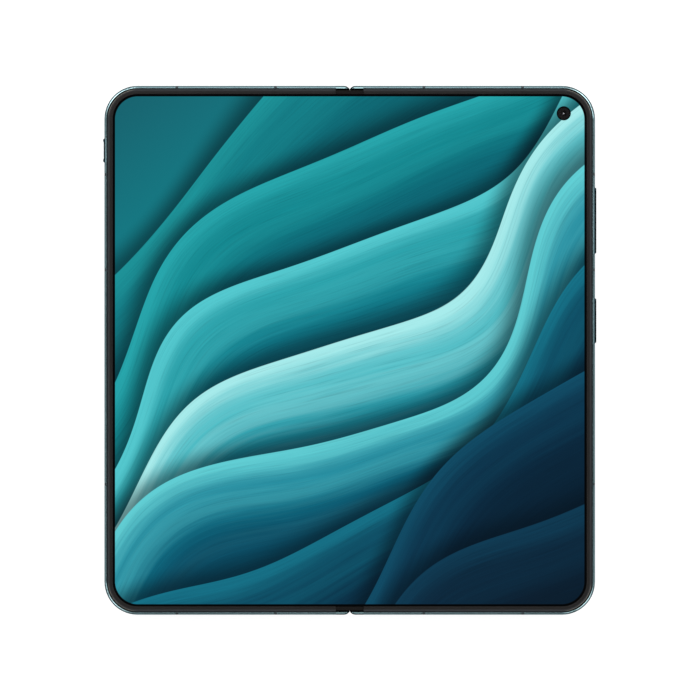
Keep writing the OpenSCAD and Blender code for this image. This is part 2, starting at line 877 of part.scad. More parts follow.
module back_glass() {
    color("#2c4a4e") raised() difference() {
        back_pane();
        post(island_x, island_y, spigot_r + running_gap, 0, body_t + cut_over);
    }
}

// Trim ring of the island, turned about the island's centre
module island_ring() {
    step_r = 0.8;
    color(metal) raised() translate([island_x, island_y, 0]) rotate_extrude() difference() {
        union() {
            translate([spigot_r, -ring_face]) square([island_r - step_r - spigot_r, ring_face - body_t]);
            translate([island_r - step_r - 0.2, -ring_face + step_r])
                square([step_r + 0.2, ring_face - body_t - step_r]);
            translate([island_r - step_r, -ring_face + step_r]) circle(step_r);
            translate([spigot_r - 1.2, -ring_face + island_glass_t - 0.3])
                square([1.2, ring_face - island_glass_t + 0.3 - glass_inner + 0.6]);
        }
        translate([0, -top_z]) square([island_glass_r + running_gap, island_glass_t]);
    }
}

module at_lenses() {
    for (i = [0 : 2])
        translate([island_x, island_y, 0])
            translate(lens_ring_r * [cos(lens_angles[i]), sin(lens_angles[i]), 0]) children(i);
}

module at_flash() {
    translate([island_x, island_y, 0])
        translate(flash_ring_r * [cos(flash_angle), sin(flash_angle), 0]) children();
}

module island_glass() {
    chamfer = 0.25;
    color(glass_black) raised() difference() {
        translate([island_x, island_y, 0]) rotate_extrude() polygon([
            [0, -top_z + island_glass_t], [island_glass_r, -top_z + island_glass_t],
            [island_glass_r, -top_z + chamfer], [island_glass_r - chamfer, -top_z], [0, -top_z]
        ]);
        at_lenses() {
            post(0, 0, lens_radii[0] + running_gap, 0, top_z + cut_over);
            post(0, 0, lens_radii[1] + running_gap, 0, top_z + cut_over);
            post(0, 0, lens_radii[2] + running_gap, 0, top_z + cut_over);
        }
        at_flash() post(0, 0, flash_r + running_gap, 0, top_z + cut_over);
    }
}

// Camera: its square body under the display's deck and the round barrel through the island's glass
module camera_unit(rim_r, body_half) {
    eye_r = rim_r - 1.5;
    difference() {
        union() {
            soft_block(-body_half, body_half, -body_half, body_half, deck_under + bond,
                glass_inner + 0.4, piece_room);
            post(0, 0, rim_r - 0.4, glass_inner + 0.3, top_z - island_glass_t);
            post(0, 0, rim_r, top_z - island_glass_t - 0.1, top_z - 0.1);
        }
        post(0, 0, rim_r - 0.9, top_z - 0.6, top_z);
        translate([0, 0, -top_z + 0.5]) cylinder(r1 = eye_r + 0.4, r2 = 1.6, h = 1.2);
    }
}

module main_camera() {
    color(black_plastic) raised() at_lenses() {
        camera_unit(main_lens_r, main_body_half);
        union() {}
        union() {}
    }
}

module wide_camera() {
    color(black_plastic) raised() at_lenses() {
        union() {}
        camera_unit(small_lens_r, small_body_half);
        union() {}
    }
}

module tele_camera() {
    color(black_plastic) raised() at_lenses() {
        union() {}
        union() {}
        camera_unit(small_lens_r, small_body_half);
    }
}

// Cover discs in the camera rims
module camera_lenses() {
    color(glass_black) raised() at_lenses() {
        post(0, 0, lens_radii[0] - 0.95, top_z - 0.6, top_z - 0.2);
        post(0, 0, lens_radii[1] - 0.95, top_z - 0.6, top_z - 0.2);
        post(0, 0, lens_radii[2] - 0.95, top_z - 0.6, top_z - 0.2);
    }
}

module flash_lens() {
    color("#f2ecd8") raised() at_flash() {
        post(0, 0, flash_r, top_z - 1.6, top_z - 0.1);
        post(0, 0, flash_r + 0.6, top_z - 1.9, top_z - island_glass_t - 0.05);
    }
}

module right_battery() {
    color("#33363a") raised()
        soft_block(inner_x, inner_x1 - 1.5 * piece_room, right_cell_y[0], right_cell_y[1],
            deck_under + bond, glass_inner - 0.25, soft_r);
}

module main_board() {
    eye_room = 4;
    color(board_green) raised() {
        difference() {
            block(inner_x, inner_x1 - 1.5 * piece_room, board_y0, inner_y1 - piece_room,
                board_level, board_level + board_t);
            at_lenses() {
                camera_cut(main_body_half + camera_body_room);
                camera_cut(small_body_half + camera_body_room);
                camera_cut(small_body_half + camera_body_room);
            }
            block(eye_x - eye_room, half_w, eye_y - eye_room, half_h, 0, body_t);
            block(half_w - rail_w - 2.6, half_w, board_y0 - 1, volume_y + volume_len / 2, 0, body_t);
            for (p = board_posts()) post(p[0], p[1], thread_r, 0, body_t);
        }
        chip_on_board(inner_x + post_in, board_y0 + 1.5 * piece_room, chip_w, chip_len);
        chip_on_board(inner_x1 - 2.7 * post_in - shield_w, board_y0 + 1.5 * piece_room,
            shield_w, shield_len);
        for (p = board_posts()) spacer(p);
    }
}

module camera_cut(half) {
    block(-half, half, -half, half, 0, body_t);
}

function board_posts() = [
    [inner_x + edge_post_in, inner_y1 - post_in], [island_x + post_in, inner_y1 - post_in],
    [inner_x + edge_post_in, board_y0 + inner_post_rise],
    [inner_x1 - outer_post_in, board_y0 + outer_post_rise]
];

module inner_camera() {
    color(black_plastic) raised() difference() {
        union() {
            translate([eye_x, eye_y, 0])
                soft_block(-eye_body_half, eye_body_half, -eye_body_half, eye_body_half,
                    deck_under + bond, glass_inner - 1, 0.6);
            post(eye_x, eye_y, eye_barrel_r, film_top + 0.15, deck_under + bond + 0.1);
        }
        translate([eye_x, eye_y, -film_top - 0.75]) cylinder(r1 = 0.5, r2 = 1, h = 0.8);
    }
}

module usb_port() {
    wall = 0.3;
    w = 2 * (usb_half_w - fit_gap);
    h = 2 * (usb_half_h - fit_gap);
    color(steel) raised() mirror([0, 1, 0]) translate([usb_x, half_h, -slot_level]) {
        difference() {
            along_y(-usb_depth, -usb_recess) key_outline(w, h);
            along_y(-usb_depth + 1, 0) key_outline(w - 2 * wall, h - 2 * wall);
        }
        translate([-tongue_half, -usb_depth + 0.9, -tongue_t / 2])
            cube([2 * tongue_half, usb_depth - 2 * usb_recess - 1.2, tongue_t]);
        translate([-usb_half_w - 0.8, -usb_depth, slot_level - deck_under - bond - usb_board_t])
            cube([2 * usb_half_w + 1.6, usb_depth - rail_w - 0.4, usb_board_t]);
    }
}

module bottom_loudspeaker() {
    color(black_plastic) raised() mirror([0, 1, 0]) {
        soft_block(bottom_speaker_x - 1.5 * piece_room, inner_x1 - 2 * piece_room,
            piece_room - right_cell_y[0], inner_y1 - piece_room,
            deck_under + bond, glass_inner - 0.25, soft_r);
        sound_outlet(bottom_speaker_x);
    }
}

module vibration_motor() {
    color(steel) raised()
        soft_block(inner_x + piece_room, inner_x + piece_room + motor_w, piece_room - inner_y1,
            right_cell_y[0] - 2 * piece_room, deck_under + bond, glass_inner - 0.4, soft_r);
}

module right_antenna_bands() {
    color(bezel_plastic) raised() band_blocks(band_depth, 0);
}

module key_switches() {
    color(gold) raised() {
        switch_block(volume_y, volume_len - 2, 1.2);
        switch_block(power_y, power_len - 2, 1.2);
    }
}

module right_hinge_arms() {
    color(steel) raised() hinge_arms(mesh_angle - 3.5 * sector_step);
}

module right_screws() {
    color(steel) raised() {
        arm_screws();
        for (p = board_posts()) screw(p[0], p[1], board_level + board_t, board_t + 1);
    }
}

// Spine

// Two quarter rounds about the turning axes joined by a flat bottom
module spine_shape(r) {
    translate([-axis_x, -axis_depth - r]) square([2 * axis_x, r]);
    for (side = [0, 1]) mirror([side, 0]) translate([axis_x, -axis_depth]) intersection() {
        circle(r);
        translate([0, -r]) square([r, 2 * r]);
    }
}

module bulge_room() {
    translate([0, -bulge_depth]) circle(bulge_r);
}

module spine_cover() {
    wall_top = arm_under + 0.05;
    end_top = shelf + plate_t + 0.05;
    color(metal) raised() {
        along_y(-spine_half_len, spine_half_len) difference() {
            spine_shape(spine_r);
            spine_shape(spine_in_r);
            translate([-wall_x, -wall_top]) square([2 * wall_x, wall_top + spine_r]);
        }
        for (side = [0, 1]) mirror([0, side, 0])
            along_y(spine_half_len - end_wall_t, spine_half_len) difference() {
                spine_shape(spine_r);
                bulge_room();
                translate([-wall_x, -end_top]) square([2 * wall_x, end_top + spine_r]);
            }
    }
}

module block_profile() {
    reach = axis_x + core_r + 0.4;
    difference() {
        intersection() {
            spine_shape(spine_in_r - 0.02);
            translate([-reach, -spine_floor]) square([2 * reach, spine_floor - deck_under]);
        }
        bulge_room();
        for (side = [-1, 1]) translate([side * idler_r, -idler_depth]) circle(idler_axle_r + 0.03);
    }
}

module hinge_blocks() {
    gear_half = gear_w / 2 + running_gap;
    foot_half_w = 1.4;
    color("#8d9296") raised() for (y = module_places) {
        for (side = [0, 1]) translate([0, y, 0]) mirror([0, side, 0]) {
            along_y(gear_half, gear_half + cheek_t) block_profile();
            difference() {
                block(-foot_half_w, foot_half_w, gear_half + cheek_t - 0.1, gear_half + cheek_t + 2.4,
                    spine_floor - 0.6, spine_floor);
                post(0, gear_half + cheek_t + 1.2, screw_r + 0.1, 0, body_t);
            }
        }
        along_y(y - gear_half - 0.1, y + gear_half + 0.1) for (side = [-1, 1]) difference() {
            translate([side * axis_x, -axis_depth]) circle(core_r);
            bulge_room();
        }
    }
}

module hinge_screws() {
    from_middle = gear_w / 2 + running_gap + cheek_t + 1.2;
    color(steel) raised() for (y = module_places, side = [-1, 1])
        translate([0, y + side * from_middle, 0]) {
            post(0, 0, screw_head_r, spine_floor - 0.95, spine_floor - 0.6);
            post(0, 0, screw_r, spine_floor - 0.6, spine_floor);
        }
}

module display_fold() {
    ear_x = bezel_end_x - running_gap;
    color(glass_black) raised() {
        block(-free_film_x, free_film_x, film_in - half_h, half_h - film_in, film_top, shelf);
        block(-ear_x, ear_x, -film_end, film_end, film_top, shelf);
    }
}

// Flat cables with spare length in the spine
module hinge_cables() {
    level = cable_level;
    under = level + cable_t;
    dip = 0.9;
    run = wall_out_x + 2.5;
    bend_x = [2.7, 4.3];
    skew = 0.05;
    color(gold) raised() for (y = cable_places)
        along_y(y - cable_w / 2, y + cable_w / 2) polygon([
            [-run, -level], [-bend_x[1], -level], [-bend_x[0], -level - dip],
            [bend_x[0], -level - dip], [bend_x[1], -level], [run, -level],
            [run, -under], [bend_x[1] - skew, -under], [bend_x[0] - skew, -under - dip],
            [skew - bend_x[0], -under - dip], [skew - bend_x[1], -under], [-run, -under]
        ]);
}

// Support plate with a round pivot edge, cut away over the hinge modules
module support_plate() {
    tip_x = 0.3;
    cut_x = axis_x + core_r + 0.7;
    mid = shelf + 0.02 + plate_t / 2;
    plate_end = spine_half_len - end_wall_t - 0.2;
    difference() {
        along_y(-plate_end, plate_end) {
            translate([tip_x, -mid - plate_t / 2]) square([free_film_x - tip_x, plate_t]);
            translate([free_film_x, -mid]) circle(plate_t / 2);
        }
        for (y = module_places)
            block(tip_x - cut_over, cut_x, y - block_w / 2 - 0.4, y + block_w / 2 + 0.4, 0, body_t);
    }
}

module left_support_plate() {
    color(steel) raised() mirrored() support_plate();
}

module right_support_plate() {
    color(steel) raised() support_plate();
}

module idler(phase) {
    translate([idler_r, -idler_depth]) {
        circle(idler_r - dedendum);
        for (i = [0 : idler_teeth - 1]) rotate(phase + i * idler_step) gear_tooth(idler_r);
    }
}

module idler_gears(phase) {
    for (y = module_places) {
        along_y(y - gear_w / 2, y + gear_w / 2) idler(phase);
        along_y(y - block_w / 2, y + block_w / 2) translate([idler_r, -idler_depth]) circle(idler_axle_r);
    }
}

module left_idler_gears() {
    color(gold) raised() mirrored() idler_gears(mesh_angle - 180 + idler_step / 2);
}

module right_idler_gears() {
    color(gold) raised() idler_gears(mesh_angle - 180);
}

// Keys

module key_stem(y) {
    translate([half_w - rail_w + 0.2, y, -key_depth]) rotate([0, 90, 0])
        cylinder(r = stem_r, h = rail_w - key_pocket + press_room);
}

module volume_key() {
    color(key_metal) raised() {
        key_cap(volume_y, volume_len, press_room + running_gap);
        for (side = [-1, 1]) key_stem(volume_y + side * volume_len / 4);
        post(half_w - key_pocket + rocker_r + running_gap, volume_y, rocker_r,
            key_depth - key_w / 2, key_depth + key_w / 2);
    }
}

module sensor_shape(grow, x1) {
    sensor_t = 0.2;
    translate([0, power_y, -key_depth]) along_x(half_w + key_proud - sensor_t, x1)
        key_outline(power_len - 1.1 + 2 * grow, key_w - 0.8 + 2 * grow);
}

module power_key() {
    color(key_metal) raised() difference() {
        union() {
            key_cap(power_y, power_len, press_room + running_gap);
            key_stem(power_y);
        }
        sensor_shape(0.02, half_w + cut_over);
    }
}

module fingerprint_sensor() {
    color(glass_black) raised() sensor_shape(0, half_w + key_proud);
}

left_frame();
left_bezel();
left_display_panel();
cover_glass();
cover_display();
cover_camera();
left_battery();
left_board();
top_loudspeaker();
left_antenna_bands();
left_hinge_arms();
slider_switch();
card_reader();
left_screws();
right_frame();
right_bezel();
right_display_panel();
back_glass();
island_ring();
island_glass();
main_camera();
wide_camera();
tele_camera();
camera_lenses();
flash_lens();
right_battery();
main_board();
inner_camera();
usb_port();
bottom_loudspeaker();
vibration_motor();
right_antenna_bands();
key_switches();
right_hinge_arms();
right_screws();
spine_cover();
hinge_blocks();
hinge_screws();
display_fold();
hinge_cables();
left_support_plate();
right_support_plate();
left_idler_gears();
right_idler_gears();
alert_slider();
volume_key();
power_key();
fingerprint_sensor();
card_tray();
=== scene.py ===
import math

import bmesh
import bpy
import numpy as np
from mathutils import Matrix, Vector


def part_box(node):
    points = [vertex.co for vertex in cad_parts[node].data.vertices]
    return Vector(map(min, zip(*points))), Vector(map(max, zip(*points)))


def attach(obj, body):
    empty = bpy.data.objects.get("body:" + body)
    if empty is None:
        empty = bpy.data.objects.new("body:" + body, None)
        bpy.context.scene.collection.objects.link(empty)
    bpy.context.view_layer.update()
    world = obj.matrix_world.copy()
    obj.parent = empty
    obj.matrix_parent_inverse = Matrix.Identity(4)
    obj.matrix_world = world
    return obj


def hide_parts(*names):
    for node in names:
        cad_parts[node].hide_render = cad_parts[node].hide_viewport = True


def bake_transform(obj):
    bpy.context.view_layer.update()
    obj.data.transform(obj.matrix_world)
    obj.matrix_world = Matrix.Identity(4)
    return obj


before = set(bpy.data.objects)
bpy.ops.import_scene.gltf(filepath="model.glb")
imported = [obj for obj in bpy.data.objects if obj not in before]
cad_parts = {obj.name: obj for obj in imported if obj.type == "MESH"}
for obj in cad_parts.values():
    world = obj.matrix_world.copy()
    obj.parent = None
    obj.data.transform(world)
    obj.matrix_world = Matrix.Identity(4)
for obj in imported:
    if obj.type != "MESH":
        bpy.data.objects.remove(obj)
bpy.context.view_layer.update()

MM = 0.001


def box_mm(node):
    """The lowest and highest corners of a CAD node in millimetres."""
    return [[round(c / MM, 3) for c in corner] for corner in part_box(node)]


def middle_mm(node):
    """The middle of a CAD node in millimetres, as seen from the front."""
    low, high = box_mm(node)
    return [round((low[axis] + high[axis]) / 2, 3) for axis in (0, 1)]


# Main sizes of the phone in millimetres, worked out from the frame
HALF_W, HALF_H = box_mm("right_frame")[1][:2]
BACK_Z = box_mm("back_glass")[0][2]
BEZEL_TOP = box_mm("right_bezel")[1][2]
FREE_FILM_X, EAR_END, FILM_TOP = box_mm("display_fold")[1]
FILM_T = round(FILM_TOP - box_mm("display_fold")[0][2], 3)
FILM_END = box_mm("right_display_panel")[1][1]
ISLAND = middle_mm("island_ring")
INNER_EYE = middle_mm("inner_camera")
COVER_EYE = middle_mm("cover_camera")

# Sizes in millimetres and angles in degrees that the part's source has too
CORNER_R = 9.6
RIM_W = 0.8
NOTCH_R = 2.5
AXIS_X = 1.9
EAR_X = 4.0
FACET_X = 3.97
LENS_RING = 10.6
MAIN_LENS_R = 6.2
SMALL_LENS_R = 5.4
FLASH_ANGLE = 62
FLASH_RING = 13.2


def linear(*rgb):
    """A colour given in 8-bit sRGB, as Blender's linear RGBA."""
    share = [c / 255 for c in rgb]
    return [s / 12.92 if s <= 0.04045 else ((s + 0.055) / 1.055) ** 2.4 for s in share] + [1.0]


def dimmed(colour, share):
    """A colour with its red, green and blue multiplied by a share."""
    return [min(1.0, c * share) for c in colour[:3]] + [1.0]


# Node trees: sockets that can be added and multiplied like numbers


class Socket:
    """An output socket, or a constant, in one node tree."""

    def __init__(self, tree, value):
        self.tree = tree
        self.value = value

    def math(self, operation, *operands):
        node = self.tree.nodes.new("ShaderNodeMath")
        node.operation = operation
        for slot, operand in zip(node.inputs, (self, *operands)):
            plug(self.tree, operand, slot)
        return Socket(self.tree, node.outputs[0])

    def __add__(self, other):
        return self.math("ADD", other)

    def __sub__(self, other):
        return self.math("SUBTRACT", other)

    def __rsub__(self, other):
        return Socket(self.tree, other).math("SUBTRACT", self)

    def __mul__(self, other):
        return self.math("MULTIPLY", other)

    def __truediv__(self, other):
        return self.math("DIVIDE", other)

    def __neg__(self):
        return self * -1

    __radd__ = __add__

    def sin(self):
        return self.math("SINE")

    def abs(self):
        return self.math("ABSOLUTE")

    def most(self, other):
        return self.math("MAXIMUM", other)

    def least(self, other):
        return self.math("MINIMUM", other)

    def power(self, other):
        return self.math("POWER", other)

    def ramp(self, low, high):
        """0 at low and 1 at high, smooth between them."""
        node = self.tree.nodes.new("ShaderNodeMapRange")
        node.interpolation_type = "SMOOTHSTEP"
        plug(self.tree, self, node.inputs["Value"])
        plug(self.tree, low, node.inputs["From Min"])
        plug(self.tree, high, node.inputs["From Max"])
        return Socket(self.tree, node.outputs["Result"])


def plug(tree, source, slot):
    """Feeds an input slot from a socket, or sets it to a constant."""
    source = source.value if isinstance(source, Socket) else source
    if isinstance(source, bpy.types.NodeSocket):
        tree.links.new(source, slot)
    else:
        slot.default_value = source


def distance(dx, dy):
    return (dx * dx + dy * dy).math("SQRT")


def band_mask(value, low, high, soft=0.05):
    """1 where a value lies between two limits."""
    return value.ramp(low - soft, low + soft) * (1.0 - value.ramp(high - soft, high + soft))


def colour_mix(tree, share, low, high, blend="MIX"):
    node = tree.nodes.new("ShaderNodeMix")
    node.data_type, node.blend_type = "RGBA", blend
    plug(tree, share, node.inputs["Factor"])
    plug(tree, low, node.inputs[6])
    plug(tree, high, node.inputs[7])
    return Socket(tree, node.outputs[2])


def layered(tree, tone, *layers):
    """Lays colours over a tone, one after the other. Each layer is its share and its colour."""
    for share, colour in layers:
        tone = colour_mix(tree, share, tone, colour)
    return tone


def vector(tree, x, y, z):
    node = tree.nodes.new("ShaderNodeCombineXYZ")
    for slot, part in zip(node.inputs, (x, y, z)):
        plug(tree, part, slot)
    return Socket(tree, node.outputs[0])


def rest_point(tree, stored=None):
    """The rest position of a surface point in millimetres, as three sockets. Pieces that bend store it."""
    if stored:
        source = tree.nodes.new("ShaderNodeAttribute")
        source.attribute_name = stored
        output = source.outputs["Vector"]
    else:
        output = tree.nodes.new("ShaderNodeTexCoord").outputs["Object"]
    parts = tree.nodes.new("ShaderNodeSeparateXYZ")
    tree.links.new(output, parts.inputs[0])
    return [Socket(tree, parts.outputs[i]) / MM for i in range(3)]


def noise(tree, point, scale, detail=2.0, roughness=0.5):
    """Blender's noise at a point, with its scale in cycles per millimetre."""
    node = tree.nodes.new("ShaderNodeTexNoise")
    plug(tree, point, node.inputs["Vector"])
    node.inputs["Scale"].default_value = scale
    node.inputs["Detail"].default_value = detail
    node.inputs["Roughness"].default_value = roughness
    return Socket(tree, node.outputs["Fac"])


def bump(tree, height, depth_mm):
    node = tree.nodes.new("ShaderNodeBump")
    node.inputs["Distance"].default_value = depth_mm * MM
    node.inputs["Strength"].default_value = 1.0
    plug(tree, height, node.inputs["Height"])
    return Socket(tree, node.outputs[0])


def waves(value, wavelength):
    """A sine wave along a length, with its wavelength in millimetres."""
    return (value * (2 * math.pi / wavelength)).sin()


def material(name, **settings):
    """A new Principled material: constants go on the shader's own sockets."""
    made = bpy.data.materials.new(name)
    made.use_nodes = True
    shader = made.node_tree.nodes["Principled BSDF"]
    for key, value in settings.items():
        shader.inputs[key.replace("_", " ")].default_value = value
    return made, made.node_tree, shader


def set_input(shader, name, value):
    plug(shader.id_data, value, shader.inputs[name])


def feed_of(shader, name):
    """The socket that already feeds an input of the shader."""
    return Socket(shader.id_data, shader.inputs[name].links[0].from_socket)


# Metals and plastics

MOTTLE_SCALE = 0.09
STREAK_SCALE = 9.0
STREAK_STRETCH = {"y": (1.0, 0.02, 1.0), "z": (1.0, 1.0, 0.02)}


def grained(name, colour, roughness, grain_mm, depth_mm, metallic=0.0, tint=0.06, **extra):
    """A moulded or blasted surface: fine grain in its bump, and slight mottling of colour and gloss."""
    made, tree, shader = material(name, Metallic=metallic, **extra)
    point = vector(tree, *rest_point(tree))
    fine = noise(tree, point, 1 / grain_mm, detail=3.0)
    broad = noise(tree, point, MOTTLE_SCALE, detail=3.0)
    dark, light = dimmed(colour, 1 - tint), dimmed(colour, 1 + tint)
    set_input(shader, "Base Color", colour_mix(tree, broad.ramp(0.3, 0.7) * 0.7 + fine * 0.3, dark, light))
    set_input(shader, "Roughness", roughness + (fine - 0.5) * 0.10 + (broad - 0.5) * 0.08)
    set_input(shader, "Normal", bump(tree, fine, depth_mm))
    return made


def brushed(name, colour, roughness, along="y"):
    """Rolled or brushed sheet metal: long fine streaks in one direction."""
    made, tree, shader = material(name, Metallic=1.0)
    stretched = [part * share for part, share in zip(rest_point(tree), STREAK_STRETCH[along])]
    streaks = noise(tree, vector(tree, *stretched), STREAK_SCALE, detail=4.0, roughness=0.65)
    set_input(shader, "Base Color", colour_mix(tree, streaks.ramp(0.25, 0.75), dimmed(colour, 0.88), colour))
    set_input(shader, "Roughness", roughness + (streaks - 0.5) * 0.2)
    set_input(shader, "Normal", bump(tree, streaks, 0.004))
    return made


def anodised(name, colour, roughness=0.22, glance=0.06):
    """Satin anodised aluminium with a bead-blasted grain. glance is how pale it turns where it is seen along
    its surface."""
    edge_tint = [glance + 0.5 * c ** 0.5 for c in colour[:3]] + [1.0]
    return grained(name, colour, roughness, grain_mm=0.16, depth_mm=0.001, metallic=1.0, tint=0.05,
                   Specular_Tint=edge_tint)


# Painted highlights and painted shade lines on the frames and bezels, in millimetres, where their chamfers,
# grooves and bevels would meet the light or lie in shade. A pair is the two limits of a line, or the stretch
# over which a mask grows. IN is a distance inwards from the outline, PAST is one beyond a start or an end,
# Z is a height, and SHARP is the width of a sharp change.
CORNER_PAST_START = (0.1, 2.2)
CORNER_LINES_Z = (7.6, 7.8)
CORNER_HIGHLIGHT_IN = (0.42, 0.62)
CORNER_OUTER_SHADE_IN = (0.34, 0.40)
CORNER_INNER_SHADE_IN = (0.66, 0.72)
FLAT_TOP_IN = (0.30, 0.40)
FLAT_TOP_Z = (7.9, 8.0)
FACET_EDGE_IN = (0.30, 0.36)
FACET_Z = (6.8, 6.9)
FACET_EDGE_Z = (7.5, 7.9)
KEY_LINES_IN = (0.9, 1.0)
KEY_LINES_Z = (7.75, 7.85)
KEY_LINES_PAST_END = (-0.05, 0.15)
KEY_HIGHLIGHT_IN = (0.28, 0.36)
KEY_SHADE_IN = (0.24, 0.30)
BEZEL_PALE_IN = (1.35, 1.75)
BEVEL_SHADE_IN = (0.80, 1.02)
BEVEL_HIGHLIGHT_IN = (1.10, 1.22)
SHARP = 0.02


def straight_inset(x, y):
    """The distance inwards from the outline's nearest straight edge."""
    return (HALF_W - x.abs()).least(HALF_H - y.abs())


def corner_inset(x, y, z):
    """The distance inwards from the outline's rounded corner, and a mask that is 1 on the corner's arc near
    the front and 0 elsewhere."""
    past_x = (x.abs() - (HALF_W - CORNER_R)).most(0.0)
    past_y = (y.abs() - (HALF_H - CORNER_R)).most(0.0)
    on_arc = past_x.least(past_y).ramp(*CORNER_PAST_START) * z.ramp(*CORNER_LINES_Z)
    return CORNER_R - distance(past_x, past_y), on_arc


def fold_end_masks(x, y, z):
    """On the rail's ends at the fold: 1 on the polished facets, which carry a painted highlight, on the edge
    outside them and in the groove inside them, which both carry painted shade."""
    inset = HALF_H - y.abs()
    near, far = FACET_EDGE_IN
    reach = distance(AXIS_X - x.abs().least(AXIS_X), y.abs() - (HALF_H - NOTCH_R))
    outside = (1.0 - inset.ramp(near, far)).most(reach.ramp(NOTCH_R - far, NOTCH_R - near))
    near_fold = (1.0 - x.abs().ramp(FACET_X - SHARP, FACET_X)) * z.ramp(*FACET_Z)
    groove = inset.ramp(RIM_W - SHARP, RIM_W + SHARP)
    upper = near_fold * (1.0 - groove)
    return upper * (1.0 - outside), upper * outside * z.ramp(*FACET_EDGE_Z), near_fold * groove


def beside_keys(x, y, z):
    """1 on the stretches of rim that have a key or the slider beside them."""
    total = Socket(x.tree, 0.0)
    fade_start, fade_end = KEY_LINES_PAST_END
    for key in ("volume_key", "power_key", "alert_slider"):
        low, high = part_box(key)
        middle, half = (low[1] + high[1]) / 2 / MM, (high[1] - low[1]) / 2 / MM
        along = 1.0 - (y - middle).abs().ramp(half + fade_start, half + fade_end)
        same_side = x.ramp(0.0, 1.0) if low[0] > 0 else 1.0 - x.ramp(-1.0, 0.0)
        total = (along * same_side).most(total)
    near, far = KEY_LINES_IN
    return total * x.abs().ramp(HALF_W - far, HALF_W - near) * z.ramp(*KEY_LINES_Z)


def frame_material():
    """The halves' anodised rails, with a painted highlight on their flat top, and painted highlights and
    painted shade lines on their chamfers round the corners, beside the keys and at the fold."""
    made = anodised("anodised_teal", linear(94, 119, 123))
    tree = made.node_tree
    shader = tree.nodes["Principled BSDF"]
    x, y, z = rest_point(tree)
    straight = straight_inset(x, y)
    inset, corner = corner_inset(x, y, z)
    corner_highlight = corner * band_mask(inset, *CORNER_HIGHLIGHT_IN)
    outer_shade = 1.0 - inset.ramp(*CORNER_OUTER_SHADE_IN)
    corner_shade = corner * outer_shade.most(inset.ramp(*CORNER_INNER_SHADE_IN))
    flat_top_highlight = (1.0 - corner) * straight.ramp(*FLAT_TOP_IN) * z.ramp(*FLAT_TOP_Z)
    facet, facet_edge, groove = fold_end_masks(x, y, z)
    key_side = beside_keys(x, y, z)
    # Painted light and shade: highlight on the flat top, highlight and shade beside the keys, shade and
    # highlight lines round the corners, highlight on the facets at the fold, shade on their outer edge and
    # in the groove
    set_input(shader, "Base Color", layered(
        tree, feed_of(shader, "Base Color"),
        (flat_top_highlight, linear(132, 160, 166)),
        (key_side * straight.ramp(*KEY_HIGHLIGHT_IN), linear(158, 190, 198)),
        (key_side * (1.0 - straight.ramp(*KEY_SHADE_IN)), linear(14, 50, 57)),
        (corner_shade * 0.75, linear(30, 66, 72)),
        (corner_highlight, linear(164, 190, 194)),
        (facet, linear(140, 172, 176)),
        (facet_edge * 0.95, linear(10, 44, 50)),
        (groove, linear(3, 4, 5)),
    ))
    set_input(shader, "Roughness", feed_of(shader, "Roughness") * (1.0 - facet.most(corner_highlight) * 0.35))
    return made


BEZEL_COLOUR = linear(20, 18, 17)


def bezel_material():
    """Soft black plastic, paler along its outer edge, with a painted shade line and a painted highlight on
    its bevel round the corners.
    """
    made = grained("bezel_soft_black", BEZEL_COLOUR, 0.46, 0.12, 0.004, tint=0.12, Specular_IOR_Level=0.25)
    tree = made.node_tree
    shader = tree.nodes["Principled BSDF"]
    x, y, z = rest_point(tree)
    inset, corner = corner_inset(x, y, z)
    depth = inset.least(straight_inset(x, y))
    set_input(shader, "Base Color", layered(
        tree, feed_of(shader, "Base Color"),
        (1.0 - depth.ramp(*BEZEL_PALE_IN), linear(44, 46, 49)),
        # Painted shade in the groove beside the bevel, then a painted highlight on the bevel, round the
        # corners
        (corner * band_mask(inset, *BEVEL_SHADE_IN), linear(4, 5, 5)),
        (corner * band_mask(inset, *BEVEL_HIGHLIGHT_IN), linear(128, 124, 114)),
    ))
    return made


# Lit display: overlapping silk sheets as its picture

# Each sheet's place and form in millimetres across and along the layout's diagonal: the edge's distance from
# the middle, its swing, its wavelength and phase. Then the colours at the edge, in the body and deep inside.
LAYOUT_ANGLE = 38
SHEETS = (
    (66, 9, 210, 0.3, (28, 146, 152), (14, 118, 128), (10, 100, 112)),
    (44, 12, 190, 1.5, (38, 164, 170), (14, 132, 140), (8, 100, 114)),
    (23, 13, 170, 2.5, (84, 200, 206), (24, 150, 160), (8, 108, 126)),
    (5, 11, 150, 3.4, (168, 236, 236), (58, 182, 192), (10, 118, 138)),
    (-12, 14, 170, 4.1, (96, 204, 210), (16, 128, 150), (6, 76, 100)),
    (-32, 12, 200, 5.0, (20, 112, 134), (8, 66, 90), (6, 44, 66)),
    (-54, 13, 190, 0.8, (14, 74, 100), (8, 46, 70), (6, 34, 54)),
    (-78, 10, 170, 2.1, (12, 56, 80), (8, 34, 54), (7, 26, 42)),
)
FIELD_FADE = (50.0, 110.0)
DRIFT_SCALE = 0.011
DRIFT_MM = 16.0
RIPPLE_WAVE = 0.43
RIPPLE_SWING = 0.14

# Inside a sheet: how far its shade falls on the one below, and where its colours change, in millimetres
SHADE_REACH = 8.0
BODY_FROM = 3.0
BODY_FULL = 10.0
DEEP_FADE = (8.0, 26.0)
PLEATS_FADE = (4.0, 30.0)
PLEAT_TURN = 0.42
SHEET_EDGE = 0.1

# How fine the broad strands and the thin threads of the silk are along and across a sheet
STRANDS = (0.018, 0.42)
THREADS = (0.05, 2.6)


